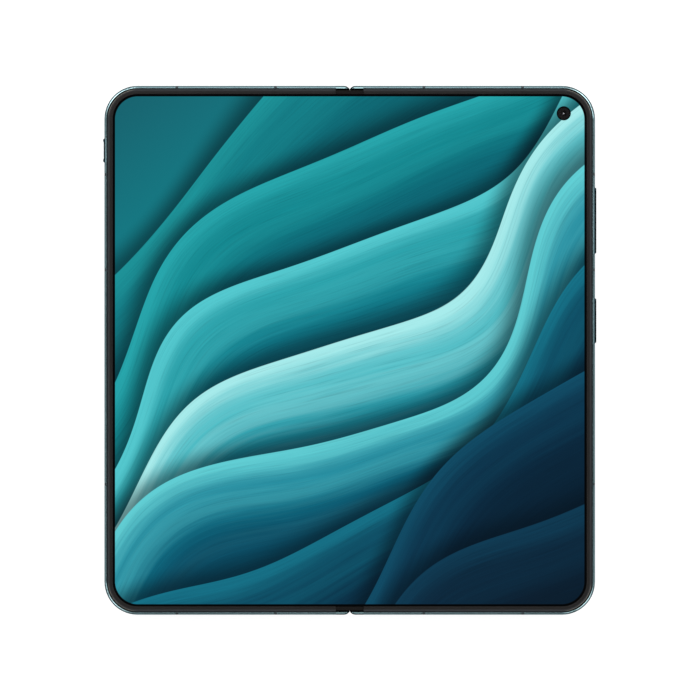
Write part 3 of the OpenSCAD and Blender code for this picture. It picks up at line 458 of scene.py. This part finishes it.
def silk_sheet(tree, below, s, along, number, colours):
    """Lays one curved sheet of silk over what lies below it. s is the distance past its edge in millimetres:
    the sheet lies where s is negative, and it throws a soft shade on what it covers."""
    rim, body, deep = colours
    inward = -s
    shaded = colour_mix(tree, (1.0 - s.ramp(0.0, SHADE_REACH)) * 0.7, below, linear(2, 16, 28))
    strand_point = vector(tree, along * STRANDS[0], s * STRANDS[1], number * 7.3)
    thread_point = vector(tree, along * THREADS[0], s * THREADS[1], number * 3.1)
    strands = noise(tree, strand_point, 1.0, detail=3.0, roughness=0.6)
    threads = noise(tree, thread_point, 1.0, detail=2.0, roughness=0.7)
    pleats = ((inward * PLEAT_TURN + strands * 5.0).sin() + 1.0) * 0.5
    tone = colour_mix(tree, (inward + strands * 6.0 - BODY_FROM).ramp(0.0, BODY_FULL), rim, body)
    tone = layered(
        tree, tone,
        (inward.ramp(*DEEP_FADE), deep),
        (pleats * (1.0 - inward.ramp(*PLEATS_FADE)) * 0.34, rim),
    )
    tone = colour_mix(tree, threads.ramp(0.5, 0.8) * 0.22, tone, linear(196, 244, 244), blend="SOFT_LIGHT")
    tone = colour_mix(tree, (1.0 - threads.ramp(0.2, 0.5)) * 0.2, tone, linear(0, 16, 28))
    return colour_mix(tree, 1.0 - s.ramp(-SHEET_EDGE, SHEET_EDGE), shaded, tone)


def wallpaper(tree, x, y):
    turn = math.radians(LAYOUT_ANGLE)
    across = y * math.cos(turn) - x * math.sin(turn)
    along = y * math.sin(turn) + x * math.cos(turn)
    colour = colour_mix(tree, across.ramp(*FIELD_FADE), linear(18, 124, 134), linear(22, 96, 108))
    drift = (noise(tree, vector(tree, along, across * 2.0, 0.0), DRIFT_SCALE, detail=0.0) - 0.5) * DRIFT_MM
    for number, (offset, swing, wave, phase, *tones) in enumerate(SHEETS):
        edge = (along * (2 * math.pi / wave) + phase).sin() * swing + offset
        ripple_turn = along * (2 * math.pi / (wave * RIPPLE_WAVE)) + phase * 2
        ripple = ripple_turn.sin() * (swing * RIPPLE_SWING)
        colours = [linear(*tone) for tone in tones]
        colour = silk_sheet(tree, colour, across - edge - ripple + drift, along, number, colours)
    return colour


# The lit picture's size and corners, and the start of the matt border at the display's ends, in millimetres
LIT_HALF_W = 68.02
LIT_HALF_H = 73.6
LIT_CORNER = 6.6
BORDER_Y = 74.3
BORDER_SOFT = 0.05
INNER_HOLE = (2.02, 2.1)
FACE_DEPTH = (0.06, 0.02)


def rounded_mask(x, y, half_w, half_h, radius, soft=0.04):
    """1 inside a rounded rectangle about the origin, and 0 outside it."""
    past_x = (x.abs() - (half_w - radius)).most(0.0)
    past_y = (y.abs() - (half_h - radius)).most(0.0)
    return 1.0 - distance(past_x, past_y).ramp(radius - soft, radius + soft)


def display_material(name, stored=None):
    """The inner display: lit picture inside a black border, under a smooth protective film."""
    made, tree, shader = material(name, Specular_IOR_Level=0.1)
    x, y, z = rest_point(tree, stored)
    border = y.abs().ramp(BORDER_Y - BORDER_SOFT, BORDER_Y + BORDER_SOFT)
    set_input(shader, "Base Color", colour_mix(tree, border, linear(4, 5, 6), BEZEL_COLOUR))
    set_input(shader, "Roughness", border * 0.35 + 0.08)
    lit = rounded_mask(x, y, LIT_HALF_W, LIT_HALF_H, LIT_CORNER)
    face = z.ramp(FILM_TOP - FACE_DEPTH[0], FILM_TOP - FACE_DEPTH[1])
    hole = distance(x - INNER_EYE[0], y - INNER_EYE[1]).ramp(*INNER_HOLE)
    picture = colour_mix(tree, lit * face * hole, linear(0, 0, 0), wallpaper(tree, x, y))
    set_input(shader, "Emission Color", picture)
    shader.inputs["Emission Strength"].default_value = 1.0
    return made


# Glass

# The sleeping cover display, the rings painted round the camera in it, and its pupil with a painted
# reflection, in millimetres
COVER_PANEL_X = -37.85
COVER_PANEL_HALF_W = 29.2
COVER_PANEL_HALF_H = 72.6
COVER_PANEL_CORNER = 6.0
COVER_HOLE = (2.0, 2.1)
COVER_OUTER_RING = (1.72, 1.9)
COVER_INNER_RING = (0.95, 1.2)
COVER_PUPIL_REFLECTION = (0.35, 0.8)

# Scales of the noise in the glass, in cycles per millimetre
COVER_SMUDGE_SCALE = 0.05
BLACK_SMUDGE_SCALE = 0.08
SPARKLE_SCALE = 5.0
SLOW_TONE_SCALE = 0.012
COATING_SCALE = 0.4


def cover_glass_material():
    """Outer glass of the half without cameras: the sleeping cover display behind it is a shade lighter."""
    made, tree, shader = material("cover_glass_black", Roughness=0.05, Specular_IOR_Level=0.22)
    x, y, z = rest_point(tree)
    panel = rounded_mask(x - COVER_PANEL_X, y, COVER_PANEL_HALF_W, COVER_PANEL_HALF_H,
                         COVER_PANEL_CORNER, soft=0.08)
    reach = distance(x - COVER_EYE[0], y - COVER_EYE[1])
    set_input(shader, "Base Color", layered(
        tree, linear(9, 9, 11),
        (panel * reach.ramp(*COVER_HOLE), linear(17, 19, 22)),
        (band_mask(reach, *COVER_OUTER_RING), linear(82, 88, 94)),
        (band_mask(reach, *COVER_INNER_RING), linear(36, 38, 46)),
        # Painted reflection: a violet-blue gleam off the coated lens in the camera's pupil
        (1.0 - reach.ramp(*COVER_PUPIL_REFLECTION), linear(36, 34, 84)),
    ))
    smudge = noise(tree, vector(tree, x, y, z), COVER_SMUDGE_SCALE, detail=4.0)
    set_input(shader, "Roughness", 0.04 + smudge.ramp(0.4, 0.8) * 0.05)
    return made


def back_glass_material():
    """Frosted back glass: matt, silky, lighter towards the camera island as a painted sheen, with fine
    sparkle in its gloss and grain that is also painted as pale specks in its colour.
    """
    made, tree, shader = material("back_glass_frosted", Metallic=0.35, Coat_Weight=0.25, Coat_Roughness=0.35)
    x, y, z = rest_point(tree)
    point = vector(tree, x, y, z)
    sparkle = noise(tree, point, SPARKLE_SCALE)
    slow = noise(tree, point, SLOW_TONE_SCALE)
    # Painted sheen: lighter towards the camera island; the pale specks below are painted sparkle
    rise = (y / HALF_H * 0.42 + x / HALF_W * 0.25 + 0.4 + (slow - 0.5) * 0.5).ramp(0.0, 1.0)
    set_input(shader, "Base Color", layered(
        tree, linear(20, 54, 62),
        (rise, linear(84, 138, 144)),
        (sparkle.ramp(0.62, 0.75) * 0.35, linear(140, 190, 194)),
    ))
    set_input(shader, "Roughness", 0.42 + (sparkle - 0.5) * 0.1)
    set_input(shader, "Normal", bump(tree, sparkle, 0.002))
    return made


def black_glass(name, roughness=0.04):
    """Black glass with faint smudges in its gloss."""
    made, tree, shader = material(name, Specular_IOR_Level=0.28, Base_Color=linear(7, 8, 10))
    smudge = noise(tree, vector(tree, *rest_point(tree)), BLACK_SMUDGE_SCALE, detail=4.0)
    set_input(shader, "Roughness", roughness + smudge.ramp(0.4, 0.8) * 0.04)
    return made


def lens_glass(name):
    """Clear cover over a camera, with a thin coating that weakens its reflections."""
    return material(name, Roughness=0.02, IOR=1.28, Base_Color=linear(238, 242, 248),
                    Transmission_Weight=1.0, Thin_Film_Thickness=300.0, Thin_Film_IOR=1.34)[0]


def lens_element(name, colour):
    """A curved lens element deep in a camera: dark, mirror smooth and tinted by its coating."""
    made, tree, shader = material(name, Roughness=0.03, Metallic=0.25, Coat_Weight=1.0, Coat_Roughness=0.02)
    tone = noise(tree, vector(tree, *rest_point(tree)), COATING_SCALE, detail=1.0)
    set_input(shader, "Base Color", colour_mix(tree, tone.ramp(0.35, 0.65), dimmed(colour, 0.35), colour))
    return made


# Mesh, flash, turned metal and circuit board

WIRE_PITCH = 0.18
FLASH_PITCH = 0.28
FLASH_GLOW = (0.7, 1.3)
GROOVE_SCALE = 6.0
TRACE_PITCH = 0.7
TRACE_WANDER = 4.0


def on_island(angle, ring):
    """A place on a circle about the camera island's middle, in millimetres."""
    turn = math.radians(angle)
    return ISLAND[0] + ring * math.cos(turn), ISLAND[1] + ring * math.sin(turn)


def woven(name):
    """Fine black wire mesh over a dark slit."""
    made, tree, shader = material(name, Roughness=0.45, Metallic=0.6)
    x, y, _ = rest_point(tree)
    weave = waves(x, WIRE_PITCH) * waves(y, WIRE_PITCH)
    tone = colour_mix(tree, weave.ramp(-0.2, 0.4), linear(52, 54, 56), linear(6, 6, 7))
    set_input(shader, "Base Color", tone)
    set_input(shader, "Normal", bump(tree, weave, 0.02))
    return made


def flash_material():
    """Milky flash cover with the fine rings of its lens."""
    made, tree, shader = material("flash_rings", Roughness=0.22)
    x, y, _ = rest_point(tree)
    flash_x, flash_y = on_island(FLASH_ANGLE, FLASH_RING)
    reach = distance(x - flash_x, y - flash_y)
    rings = waves(reach, FLASH_PITCH)
    glow = 1.0 - reach.ramp(*FLASH_GLOW)
    tone = colour_mix(tree, rings.ramp(-0.4, 0.6), linear(214, 206, 184), linear(244, 238, 220))
    set_input(shader, "Base Color", colour_mix(tree, glow, tone, linear(238, 214, 120)))
    set_input(shader, "Normal", bump(tree, rings, 0.05))
    return made


def turned_metal(name, colour, centre):
    """Metal turned on a lathe: fine grooves round a centre."""
    made, tree, shader = material(name, Metallic=1.0)
    x, y, z = rest_point(tree)
    reach = distance(x - centre[0], y - centre[1])
    point = vector(tree, reach * GROOVE_SCALE, z * GROOVE_SCALE, 0.0)
    grooves = noise(tree, point, 1.0, detail=3.0, roughness=0.7)
    set_input(shader, "Base Color", colour_mix(tree, grooves.ramp(0.3, 0.7), dimmed(colour, 0.86), colour))
    set_input(shader, "Roughness", 0.22 + (grooves - 0.5) * 0.14)
    set_input(shader, "Normal", bump(tree, grooves, 0.004))
    return made


def board_material():
    """Green solder mask with fine traces under it."""
    made, tree, shader = material("circuit_board_green", Roughness=0.4)
    x, y, _ = rest_point(tree)
    wander = noise(tree, vector(tree, x, y, 0.0), 0.35, detail=1.0)
    traces = waves(x + wander * TRACE_WANDER, TRACE_PITCH).ramp(0.6, 0.8)
    set_input(shader, "Base Color", colour_mix(tree, traces * 0.6, linear(18, 58, 44), linear(40, 96, 66)))
    set_input(shader, "Normal", bump(tree, traces, 0.02))
    return made


# The phone's materials and the nodes that have them

frame_metal = frame_material()
spine_metal = anodised("anodised_teal_spine", linear(84, 108, 112), roughness=0.2)
# The keys are a much darker copy of the rails' anodised teal: painted shade on their sides
key_metal_shaded = anodised("anodised_teal_keys", linear(10, 44, 52), roughness=0.24, glance=0.02)
tray_metal = anodised("anodised_teal_tray", linear(92, 117, 121))
bezel_plastic = bezel_material()
grip_rubber = grained("grip_rubber", linear(10, 30, 35), 0.6, 0.1, 0.006, tint=0.1)
band_plastic = grained("antenna_band_grey", linear(44, 58, 62), 0.5, 0.12, 0.003, tint=0.06,
                       Specular_IOR_Level=0.3)
black_plastic = grained("moulded_black", linear(24, 24, 26), 0.55, 0.2, 0.006, tint=0.10)
rim_metal = anodised("lens_rim_dark", linear(50, 60, 64), roughness=0.18)
steel = brushed("brushed_steel", linear(176, 180, 184), 0.3)
gear_steel = brushed("gear_steel", linear(190, 186, 176), 0.25, along="z")
contact_gold = brushed("contact_gold", linear(206, 172, 108), 0.25)
battery_foil = grained("battery_foil", linear(62, 64, 68), 0.38, 0.8, 0.02, metallic=0.6)
flash_plastic = flash_material()
ring_metal = turned_metal("island_ring_turned", linear(96, 121, 125), ISLAND)
woven_mesh = woven("earpiece_weave")
display_flat = display_material("inner_display")
display_bent = display_material("inner_display_fold", stored="rest_position")
cover_black = cover_glass_material()
back_frosted = back_glass_material()
island_black = black_glass("island_glass_black")
sensor_black = black_glass("sensor_black", roughness=0.12)
eye_black = grained("eye_housing_black", linear(10, 8, 9), 0.4, 0.15, 0.003, tint=0.2,
                    Specular_IOR_Level=0.15)
clear_lens = lens_glass("lens_cover_glass")
board_green = board_material()

NODE_MATERIALS = {
    frame_metal: ("left_frame", "right_frame"),
    ring_metal: ("island_ring",),
    spine_metal: ("spine_cover",),
    key_metal_shaded: ("alert_slider", "volume_key", "power_key"),
    tray_metal: ("card_tray",),
    bezel_plastic: ("left_bezel", "right_bezel"),
    band_plastic: ("left_antenna_bands", "right_antenna_bands"),
    display_flat: ("left_display_panel", "right_display_panel", "display_fold"),
    cover_black: ("cover_glass",),
    back_frosted: ("back_glass",),
    island_black: ("island_glass",),
    sensor_black: ("fingerprint_sensor",),
    clear_lens: ("camera_lenses",),
    rim_metal: ("main_camera", "wide_camera", "tele_camera"),
    eye_black: ("inner_camera",),
    black_plastic: ("cover_display", "cover_camera", "top_loudspeaker", "bottom_loudspeaker"),
    battery_foil: ("left_battery", "right_battery"),
    board_green: ("left_board", "main_board"),
    flash_plastic: ("flash_lens",),
    steel: (
        "left_hinge_arms", "right_hinge_arms", "left_screws", "right_screws", "card_reader", "slider_switch",
        "usb_port", "vibration_motor", "hinge_blocks", "hinge_screws", "left_support_plate",
        "right_support_plate",
    ),
    gear_steel: ("left_idler_gears", "right_idler_gears"),
    contact_gold: ("key_switches", "hinge_cables"),
}


def dress(node, made):
    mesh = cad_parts[node].data
    mesh.materials.clear()
    mesh.materials.append(made)


for made, names in NODE_MATERIALS.items():
    for name in names:
        dress(name, made)


# Mesh pieces


def piece(name, vertices, faces, made, smooth=False):
    """A new mesh object from points in millimetres."""
    mesh = bpy.data.meshes.new(name)
    mesh.from_pydata([tuple(c * MM for c in v) for v in vertices], [], faces)
    mesh.validate()
    cleaned = bmesh.new()
    cleaned.from_mesh(mesh)
    bmesh.ops.remove_doubles(cleaned, verts=cleaned.verts, dist=1e-7)
    bmesh.ops.recalc_face_normals(cleaned, faces=cleaned.faces)
    cleaned.to_mesh(mesh)
    cleaned.free()
    mesh.materials.append(made)
    for polygon in mesh.polygons:
        polygon.use_smooth = smooth
    made_object = bpy.data.objects.new(name, mesh)
    bpy.context.scene.collection.objects.link(made_object)
    return made_object


def keep_rest_position(made_object):
    """Stores each point's place at rest, which a material of a piece that bends reads."""
    mesh = made_object.data
    stored = mesh.attributes.new("rest_position", "FLOAT_VECTOR", "POINT")
    places = np.empty(len(mesh.vertices) * 3, np.float32)
    mesh.vertices.foreach_get("co", places)
    stored.data.foreach_set("vector", places)


def joined(parts):
    """One list of vertices and faces from several."""
    vertices, faces = [], []
    for part_vertices, part_faces in parts:
        start = len(vertices)
        vertices += part_vertices
        faces += [tuple(i + start for i in face) for face in part_faces]
    return vertices, faces


def strip_solid(stations, y0, y1, thickness, y_steps):
    """A thin sheet along stations of (x, z of its upper face), from y0 to y1."""
    vertices, faces = [], []
    rows = [y0 + (y1 - y0) * i / y_steps for i in range(y_steps + 1)]
    for x, z in stations:
        for y in rows:
            vertices += [(x, y, z), (x, y, z - thickness)]
    across = 2 * len(rows)

    def corner(i, j, under):
        return i * across + 2 * j + under

    last_i, last_j = len(stations) - 1, len(rows) - 1
    for i in range(last_i):
        for j in range(last_j):
            for under in (0, 1):
                faces.append((corner(i, j, under), corner(i + 1, j, under),
                              corner(i + 1, j + 1, under), corner(i, j + 1, under)))
        for j in (0, last_j):
            faces.append((corner(i, j, 0), corner(i + 1, j, 0), corner(i + 1, j, 1), corner(i, j, 1)))
    for i in (0, last_i):
        for j in range(last_j):
            faces.append((corner(i, j, 0), corner(i, j + 1, 0), corner(i, j + 1, 1), corner(i, j, 1)))
    return vertices, faces


def lathe(profile, centre, steps=64):
    """Revolves a profile of (radius, z) about an upright line through centre."""
    vertices, faces = [], []
    for radius, z in profile:
        for k in range(steps):
            turn = 2 * math.pi * k / steps
            vertices.append((centre[0] + radius * math.cos(turn), centre[1] + radius * math.sin(turn), z))
    for i in range(len(profile) - 1):
        for k in range(steps):
            after = (k + 1) % steps
            faces.append((i * steps + k, i * steps + after, (i + 1) * steps + after, (i + 1) * steps + k))
    return vertices, faces


def box_part(x0, x1, y0, y1, z0, z1):
    corners = [(x, y, z) for x in (x0, x1) for y in (y0, y1) for z in (z0, z1)]
    return corners, [(0, 1, 3, 2), (4, 6, 7, 5), (0, 4, 5, 1), (2, 3, 7, 6), (0, 2, 6, 4), (1, 5, 7, 3)]


def soften(made_object, width_mm):
    """Rounds a piece's sharp edges."""
    edge = made_object.modifiers.new("edges", "BEVEL")
    edge.width = width_mm * MM
    edge.segments = 2
    edge.limit_method = "ANGLE"


# The display film over the fold, in two strips, one for each half

FILM_STEPS = 40
EAR_STEPS = 20
FILM_ROWS = 12


def fold_strip(name, side):
    """Half of the film over the fold, with the short ears at both ends of the fold line."""
    wide = [(side * FREE_FILM_X * i / FILM_STEPS, FILM_TOP) for i in range(FILM_STEPS + 1)]
    narrow = [(side * EAR_X * i / EAR_STEPS, FILM_TOP) for i in range(EAR_STEPS + 1)]
    main = strip_solid(wide, -FILM_END, FILM_END, FILM_T, FILM_ROWS)
    ears = [strip_solid(narrow, end * FILM_END, end * EAR_END, FILM_T, 1) for end in (-1, 1)]
    made_object = piece(name, *joined([main] + ears), display_bent)
    keep_rest_position(made_object)
    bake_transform(made_object)
    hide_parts("display_fold")


fold_strip("display_fold_right", 1)
fold_strip("display_fold_left", -1)


# Flat cables through the hinge: the path of their upper face in (x, z), and where they start to bend

CABLE_PATH = ((0.0, 4.0), (2.7, 4.0), (4.3, 4.9), (8.9, 4.9))
CABLE_STEPS = 10
CABLE_T = 0.12
CABLE_Y = (-24.0, 24.0)
CABLE_HALF_W = 6.0


def cable_stations(side):
    """Points along a cable, close enough together to bend."""
    stations = []
    for (xa, za), (xb, zb) in zip(CABLE_PATH, CABLE_PATH[1:]):
        for i in range(CABLE_STEPS):
            share = i / CABLE_STEPS
            stations.append((side * (xa + (xb - xa) * share), za + (zb - za) * share))
    return stations + [(side * CABLE_PATH[-1][0], CABLE_PATH[-1][1])]


def cable_strips(name, side):
    stations = cable_stations(side)
    parts = [strip_solid(stations, y - CABLE_HALF_W, y + CABLE_HALF_W, CABLE_T, 2) for y in CABLE_Y]
    made_object = piece(name, *joined(parts), contact_gold)
    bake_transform(made_object)
    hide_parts("hinge_cables")


cable_strips("hinge_cables_right", 1)
cable_strips("hinge_cables_left", -1)


# Cameras of the island: stepped baffles and curved lens elements behind the cover discs

# The cone behind a cover disc, the baffle's steps in it and the dome at its end, in millimetres. Heights are
# above the island's face, on which the open phone lies.
CONE_NEAR_Z = 0.5
CONE_FAR_Z = 1.7
CONE_FAR_R = 1.6
CONE_NEAR_IN = 1.1
BAFFLE_Z = 0.62
BAFFLE_STEP = 0.17
BAFFLE_LEVELS = 5
BAFFLE_GAP = 0.06
DOME_RISE = 0.5
DOME_STEPS = 10
POLE_R = 0.0001

# Each camera's angle on the circle of lenses, its radius and the tint of its coating
ISLAND_LENSES = (
    ("main_lens", 135, MAIN_LENS_R, linear(40, 34, 96)),
    ("wide_lens", 225, SMALL_LENS_R, linear(26, 64, 84)),
    ("tele_lens", 0, SMALL_LENS_R, linear(70, 40, 90)),
)


def cone_radius(rim_r, z):
    """Radius of the cone behind a camera's cover disc at a height."""
    near_r = rim_r - CONE_NEAR_IN
    return near_r - (near_r - CONE_FAR_R) * (z - CONE_NEAR_Z) / (CONE_FAR_Z - CONE_NEAR_Z)


def lens_stack(name, centre, rim_r, tint):
    """Steps of the baffle and the front element, inside the cone behind the cover disc."""
    levels = [BAFFLE_Z + BAFFLE_STEP * k for k in range(BAFFLE_LEVELS)]
    radii = [cone_radius(rim_r, z) - BAFFLE_GAP for z in levels]
    steps = []
    for k in range(BAFFLE_LEVELS - 1):
        steps += [(radii[k], levels[k]), (radii[k + 1], levels[k])]
    baffle = piece(name + "_baffle", *lathe(steps, centre), black_plastic)
    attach(baffle, "right_half")
    dome_r, dome_z = radii[-1], levels[-1]
    angles = [math.pi / 2 * i / DOME_STEPS for i in range(DOME_STEPS)]
    dome = [(dome_r * math.cos(a), dome_z - DOME_RISE * math.sin(a)) for a in angles]
    dome.append((POLE_R, dome_z - DOME_RISE))
    coating = lens_element(name + "_coating", tint)
    element = piece(name + "_element", *lathe(dome, centre), coating, smooth=True)
    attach(element, "right_half")


for lens_name, angle, rim_r, tint in ISLAND_LENSES:
    lens_stack(lens_name, on_island(angle, LENS_RING), rim_r, tint)


# Small lenses behind the hole in the inner display: place from the hole's middle, radius, height and tint.
# Their pale tints are painted highlights: a bright dot in the hole's middle and a dim one beside it.

EYE_LENSES = (
    ("inner_camera_lens", (0.0, 0.0), 0.25, 7.43, linear(235, 235, 242)),
    ("sensor_glint_lens", (-0.38, -0.42), 0.13, 7.46, linear(120, 112, 122)),
)
EYE_LENS_ANGLE = 50
EYE_LENS_STEPS = 10


def eye_lens(name, place, radius, z, tint):
    """A small convex lens with its rim at height z."""
    widest = math.radians(EYE_LENS_ANGLE)
    curve = radius / math.sin(widest)
    cap = []
    for k in range(EYE_LENS_STEPS + 1):
        tilt = widest * (EYE_LENS_STEPS - k) / EYE_LENS_STEPS
        rise = curve * (math.cos(tilt) - math.cos(widest))
        cap.append((max(POLE_R, curve * math.sin(tilt)), z + rise))
    centre = (INNER_EYE[0] + place[0], INNER_EYE[1] + place[1])
    lens = piece(name, *lathe(cap, centre, steps=40), lens_element(name + "_coating", tint), smooth=True)
    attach(lens, "right_half")


for eye in EYE_LENSES:
    eye_lens(*eye)


# Small trims in millimetres: dark lips at the notches, put there as painted shade, a pad in the slider's
# grip and a mesh in the earpiece

SHADE_LIP_HALF_T = 0.04
SHADE_LIP_START = 0.01
SHADE_LIP_REACH = 0.5
SHADE_LIP_Z = (4.4, 5.5)
SHADE_LIP_EDGE_R = 0.015
GRIP_HALF_LEN = 2.55
GRIP_DEPTH = 0.2
GRIP_T = 0.24
GRIP_Z = (4.6, 6.5)
GRIP_EDGE_R = 0.02
EARPIECE_HALF_LEN = 5.85
EARPIECE_HALF_W = 0.17
EARPIECE_FROM_TOP = 1.45
EARPIECE_DEPTH = 0.38
EARPIECE_T = 0.15
ARC_STEPS = 12


def notch_shade_lip(name, side):
    """Thin dark lip on the spine's end in the slit between the halves below the notch: a dark piece put
    there as painted shade, so that the notch's tip reads dark.
    """
    y0, y1 = sorted((side * (EAR_END + SHADE_LIP_START), side * (EAR_END + SHADE_LIP_REACH)))
    blade = piece(name, *box_part(-SHADE_LIP_HALF_T, SHADE_LIP_HALF_T, y0, y1, *SHADE_LIP_Z), bezel_plastic)
    soften(blade, SHADE_LIP_EDGE_R)
    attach(blade, "spine")


notch_shade_lip("notch_shade_lip_top", 1)
notch_shade_lip("notch_shade_lip_bottom", -1)


def grip_insert():
    """Rubber pad set into the alert slider's cap. Its face shows at the bottom of the grip's grooves."""
    low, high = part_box("alert_slider")
    middle = (low[1] + high[1]) / 2 / MM
    face_x = low[0] / MM + GRIP_DEPTH
    block = box_part(face_x, face_x + GRIP_T, middle - GRIP_HALF_LEN, middle + GRIP_HALF_LEN, *GRIP_Z)
    pad = piece("slider_grip", *block, grip_rubber)
    soften(pad, GRIP_EDGE_R)
    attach(pad, "alert_slider")


grip_insert()


def earpiece_mesh():
    """Woven mesh in the earpiece slit above the cover display."""
    y, z = HALF_H - EARPIECE_FROM_TOP, BACK_Z + EARPIECE_DEPTH
    arc_x = COVER_EYE[0] - EARPIECE_HALF_LEN + EARPIECE_HALF_W
    arc = [math.radians(90 + 180 * k / ARC_STEPS) for k in range(ARC_STEPS + 1)]
    left = [(arc_x + EARPIECE_HALF_W * math.cos(a), y + EARPIECE_HALF_W * math.sin(a)) for a in arc]
    right = [(2 * COVER_EYE[0] - px, 2 * y - py) for px, py in left]
    outline = left + right
    count = len(outline)
    vertices = [(px, py, z) for px, py in outline] + [(px, py, z + EARPIECE_T) for px, py in outline]
    faces = [tuple(range(count)), tuple(range(count, 2 * count))]
    faces += [(k, (k + 1) % count, count + (k + 1) % count, count + k) for k in range(count)]
    made_object = piece("earpiece_mesh", vertices, faces, woven_mesh)
    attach(made_object, "left_half")


earpiece_mesh()


# Camera at the photograph's angle, straight above the open phone

PHOTO_WIDTH_MM = 202.85
PHOTO_SHIFT_MM = (0.08, 0.09)
LENS_MM = 135
SENSOR_MM = 36


def make_camera():
    data = bpy.data.cameras.new("camera")
    data.lens, data.sensor_width = LENS_MM, SENSOR_MM
    camera = bpy.data.objects.new("camera", data)
    bpy.context.scene.collection.objects.link(camera)
    height = PHOTO_WIDTH_MM * LENS_MM / SENSOR_MM
    camera.location = (PHOTO_SHIFT_MM[0] * MM, PHOTO_SHIFT_MM[1] * MM, (BEZEL_TOP + height) * MM)
    data.clip_start, data.clip_end = 0.01, 20
    bpy.context.scene.camera = camera


# Floor, backdrop and soft light

FLOOR_HALF = 4000.0
FLOOR_Z = -0.05
FLOOR_GREY = 0.3
FLOOR_GLOW = 0.86


def light_path(tree, *names):
    """1 for rays of any of the named kinds."""
    rays = tree.nodes.new("ShaderNodeLightPath")
    total = Socket(tree, rays.outputs[names[0]])
    for name in names[1:]:
        total = total.most(Socket(tree, rays.outputs[name]))
    return total


def floor_material():
    """Pale floor that shows white to the camera, and is clear from below."""
    made = bpy.data.materials.new("floor_white")
    made.use_nodes = True
    tree = made.node_tree
    tree.nodes.clear()
    output = tree.nodes.new("ShaderNodeOutputMaterial")
    diffuse = tree.nodes.new("ShaderNodeBsdfDiffuse")
    diffuse.inputs["Color"].default_value = (FLOOR_GREY, FLOOR_GREY, FLOOR_GREY, 1)
    glow = tree.nodes.new("ShaderNodeEmission")
    shown = light_path(tree, "Is Camera Ray", "Is Glossy Ray", "Is Transmission Ray")
    plug(tree, shown * FLOOR_GLOW, glow.inputs["Strength"])
    both = tree.nodes.new("ShaderNodeAddShader")
    tree.links.new(diffuse.outputs[0], both.inputs[0])
    tree.links.new(glow.outputs[0], both.inputs[1])
    clear = tree.nodes.new("ShaderNodeBsdfTransparent")
    from_below = tree.nodes.new("ShaderNodeMixShader")
    tree.links.new(tree.nodes.new("ShaderNodeNewGeometry").outputs["Backfacing"], from_below.inputs[0])
    tree.links.new(both.outputs[0], from_below.inputs[1])
    tree.links.new(clear.outputs[0], from_below.inputs[2])
    tree.links.new(from_below.outputs[0], output.inputs[0])
    return made


def make_floor():
    corners = [(x * FLOOR_HALF, y * FLOOR_HALF, FLOOR_Z) for x, y in ((-1, -1), (1, -1), (1, 1), (-1, 1))]
    floor = piece("floor", corners, [(0, 1, 2, 3)], floor_material())


# The studio's light. Pairs are heights in the sky, 0 at the horizon and 1 overhead, where it fades.
RING_FADE = (0.42, 0.64)
RING_DIM = 0.93
TILT_FADE = (0.0, 0.3)
TILT = 0.6
HIDDEN_LEVEL = 0.88
PANEL_START = (0.6, 0.7)
PANEL_END = (0.88, 0.93)
PANEL_SHARPNESS = 3.0
PANEL_LEVEL = 4.0
PANEL_TILT = 0.55


def make_world():
    """White round the horizon and dim overhead, as in a studio whose camera looks down from a dark ceiling,
    with four soft bright panels over the corners. The light is a little stronger from the +Y side."""
    world = bpy.data.worlds.new("studio")
    bpy.context.scene.world = world
    world.use_nodes = True
    tree = world.node_tree
    background = tree.nodes["Background"]
    parts = tree.nodes.new("ShaderNodeSeparateXYZ")
    tree.links.new(tree.nodes.new("ShaderNodeTexCoord").outputs["Generated"], parts.inputs[0])
    east, north, height = [Socket(tree, parts.outputs[i]) for i in range(3)]
    ring = 1.0 - height.ramp(*RING_FADE) * RING_DIM
    corner = (east * north * 2.0).abs() / (1.0 - height * height).most(0.001)
    panels = corner.power(PANEL_SHARPNESS) * height.ramp(*PANEL_START) * (1.0 - height.ramp(*PANEL_END))
    tilt = height.ramp(*TILT_FADE) * north * TILT
    shown = light_path(tree, "Is Camera Ray", "Is Glossy Ray", "Is Transmission Ray")
    ring_level = ring * (shown * (1 - HIDDEN_LEVEL) + HIDDEN_LEVEL + tilt)
    panel_level = panels * (north * PANEL_TILT + 1.0) * PANEL_LEVEL
    plug(tree, ring_level + panel_level, background.inputs["Strength"])
    background.inputs["Color"].default_value = (1, 1, 1, 1)


# Softboxes: name, azimuth (0 is +X and 90 is +Y) and angle from the zenith in degrees, distance and size in
# metres, and radiance
LAMPS = (
    ("softbox_top", 90, 30, 1.0, 0.30, 1.6),
    ("softbox_bottom", 270, 30, 1.0, 0.24, 0.9),
)


def make_lamp(name, azimuth, off_zenith, away, size, radiance):
    """A square softbox that faces the phone."""
    turn, tilt = math.radians(azimuth), math.radians(off_zenith)
    towards = Vector((math.sin(tilt) * math.cos(turn), math.sin(tilt) * math.sin(turn), math.cos(tilt)))
    data = bpy.data.lights.new(name, "AREA")
    data.shape, data.size = "SQUARE", size
    data.energy = 4 * size * size * radiance
    lamp = bpy.data.objects.new(name, data)
    bpy.context.scene.collection.objects.link(lamp)
    lamp.location = towards * away
    lamp.rotation_mode = "QUATERNION"
    lamp.rotation_quaternion = towards.to_track_quat("Z", "Y")


make_camera()
make_floor()
make_world()
for lamp in LAMPS:
    make_lamp(*lamp)
bpy.context.scene.view_settings.view_transform = "Standard"
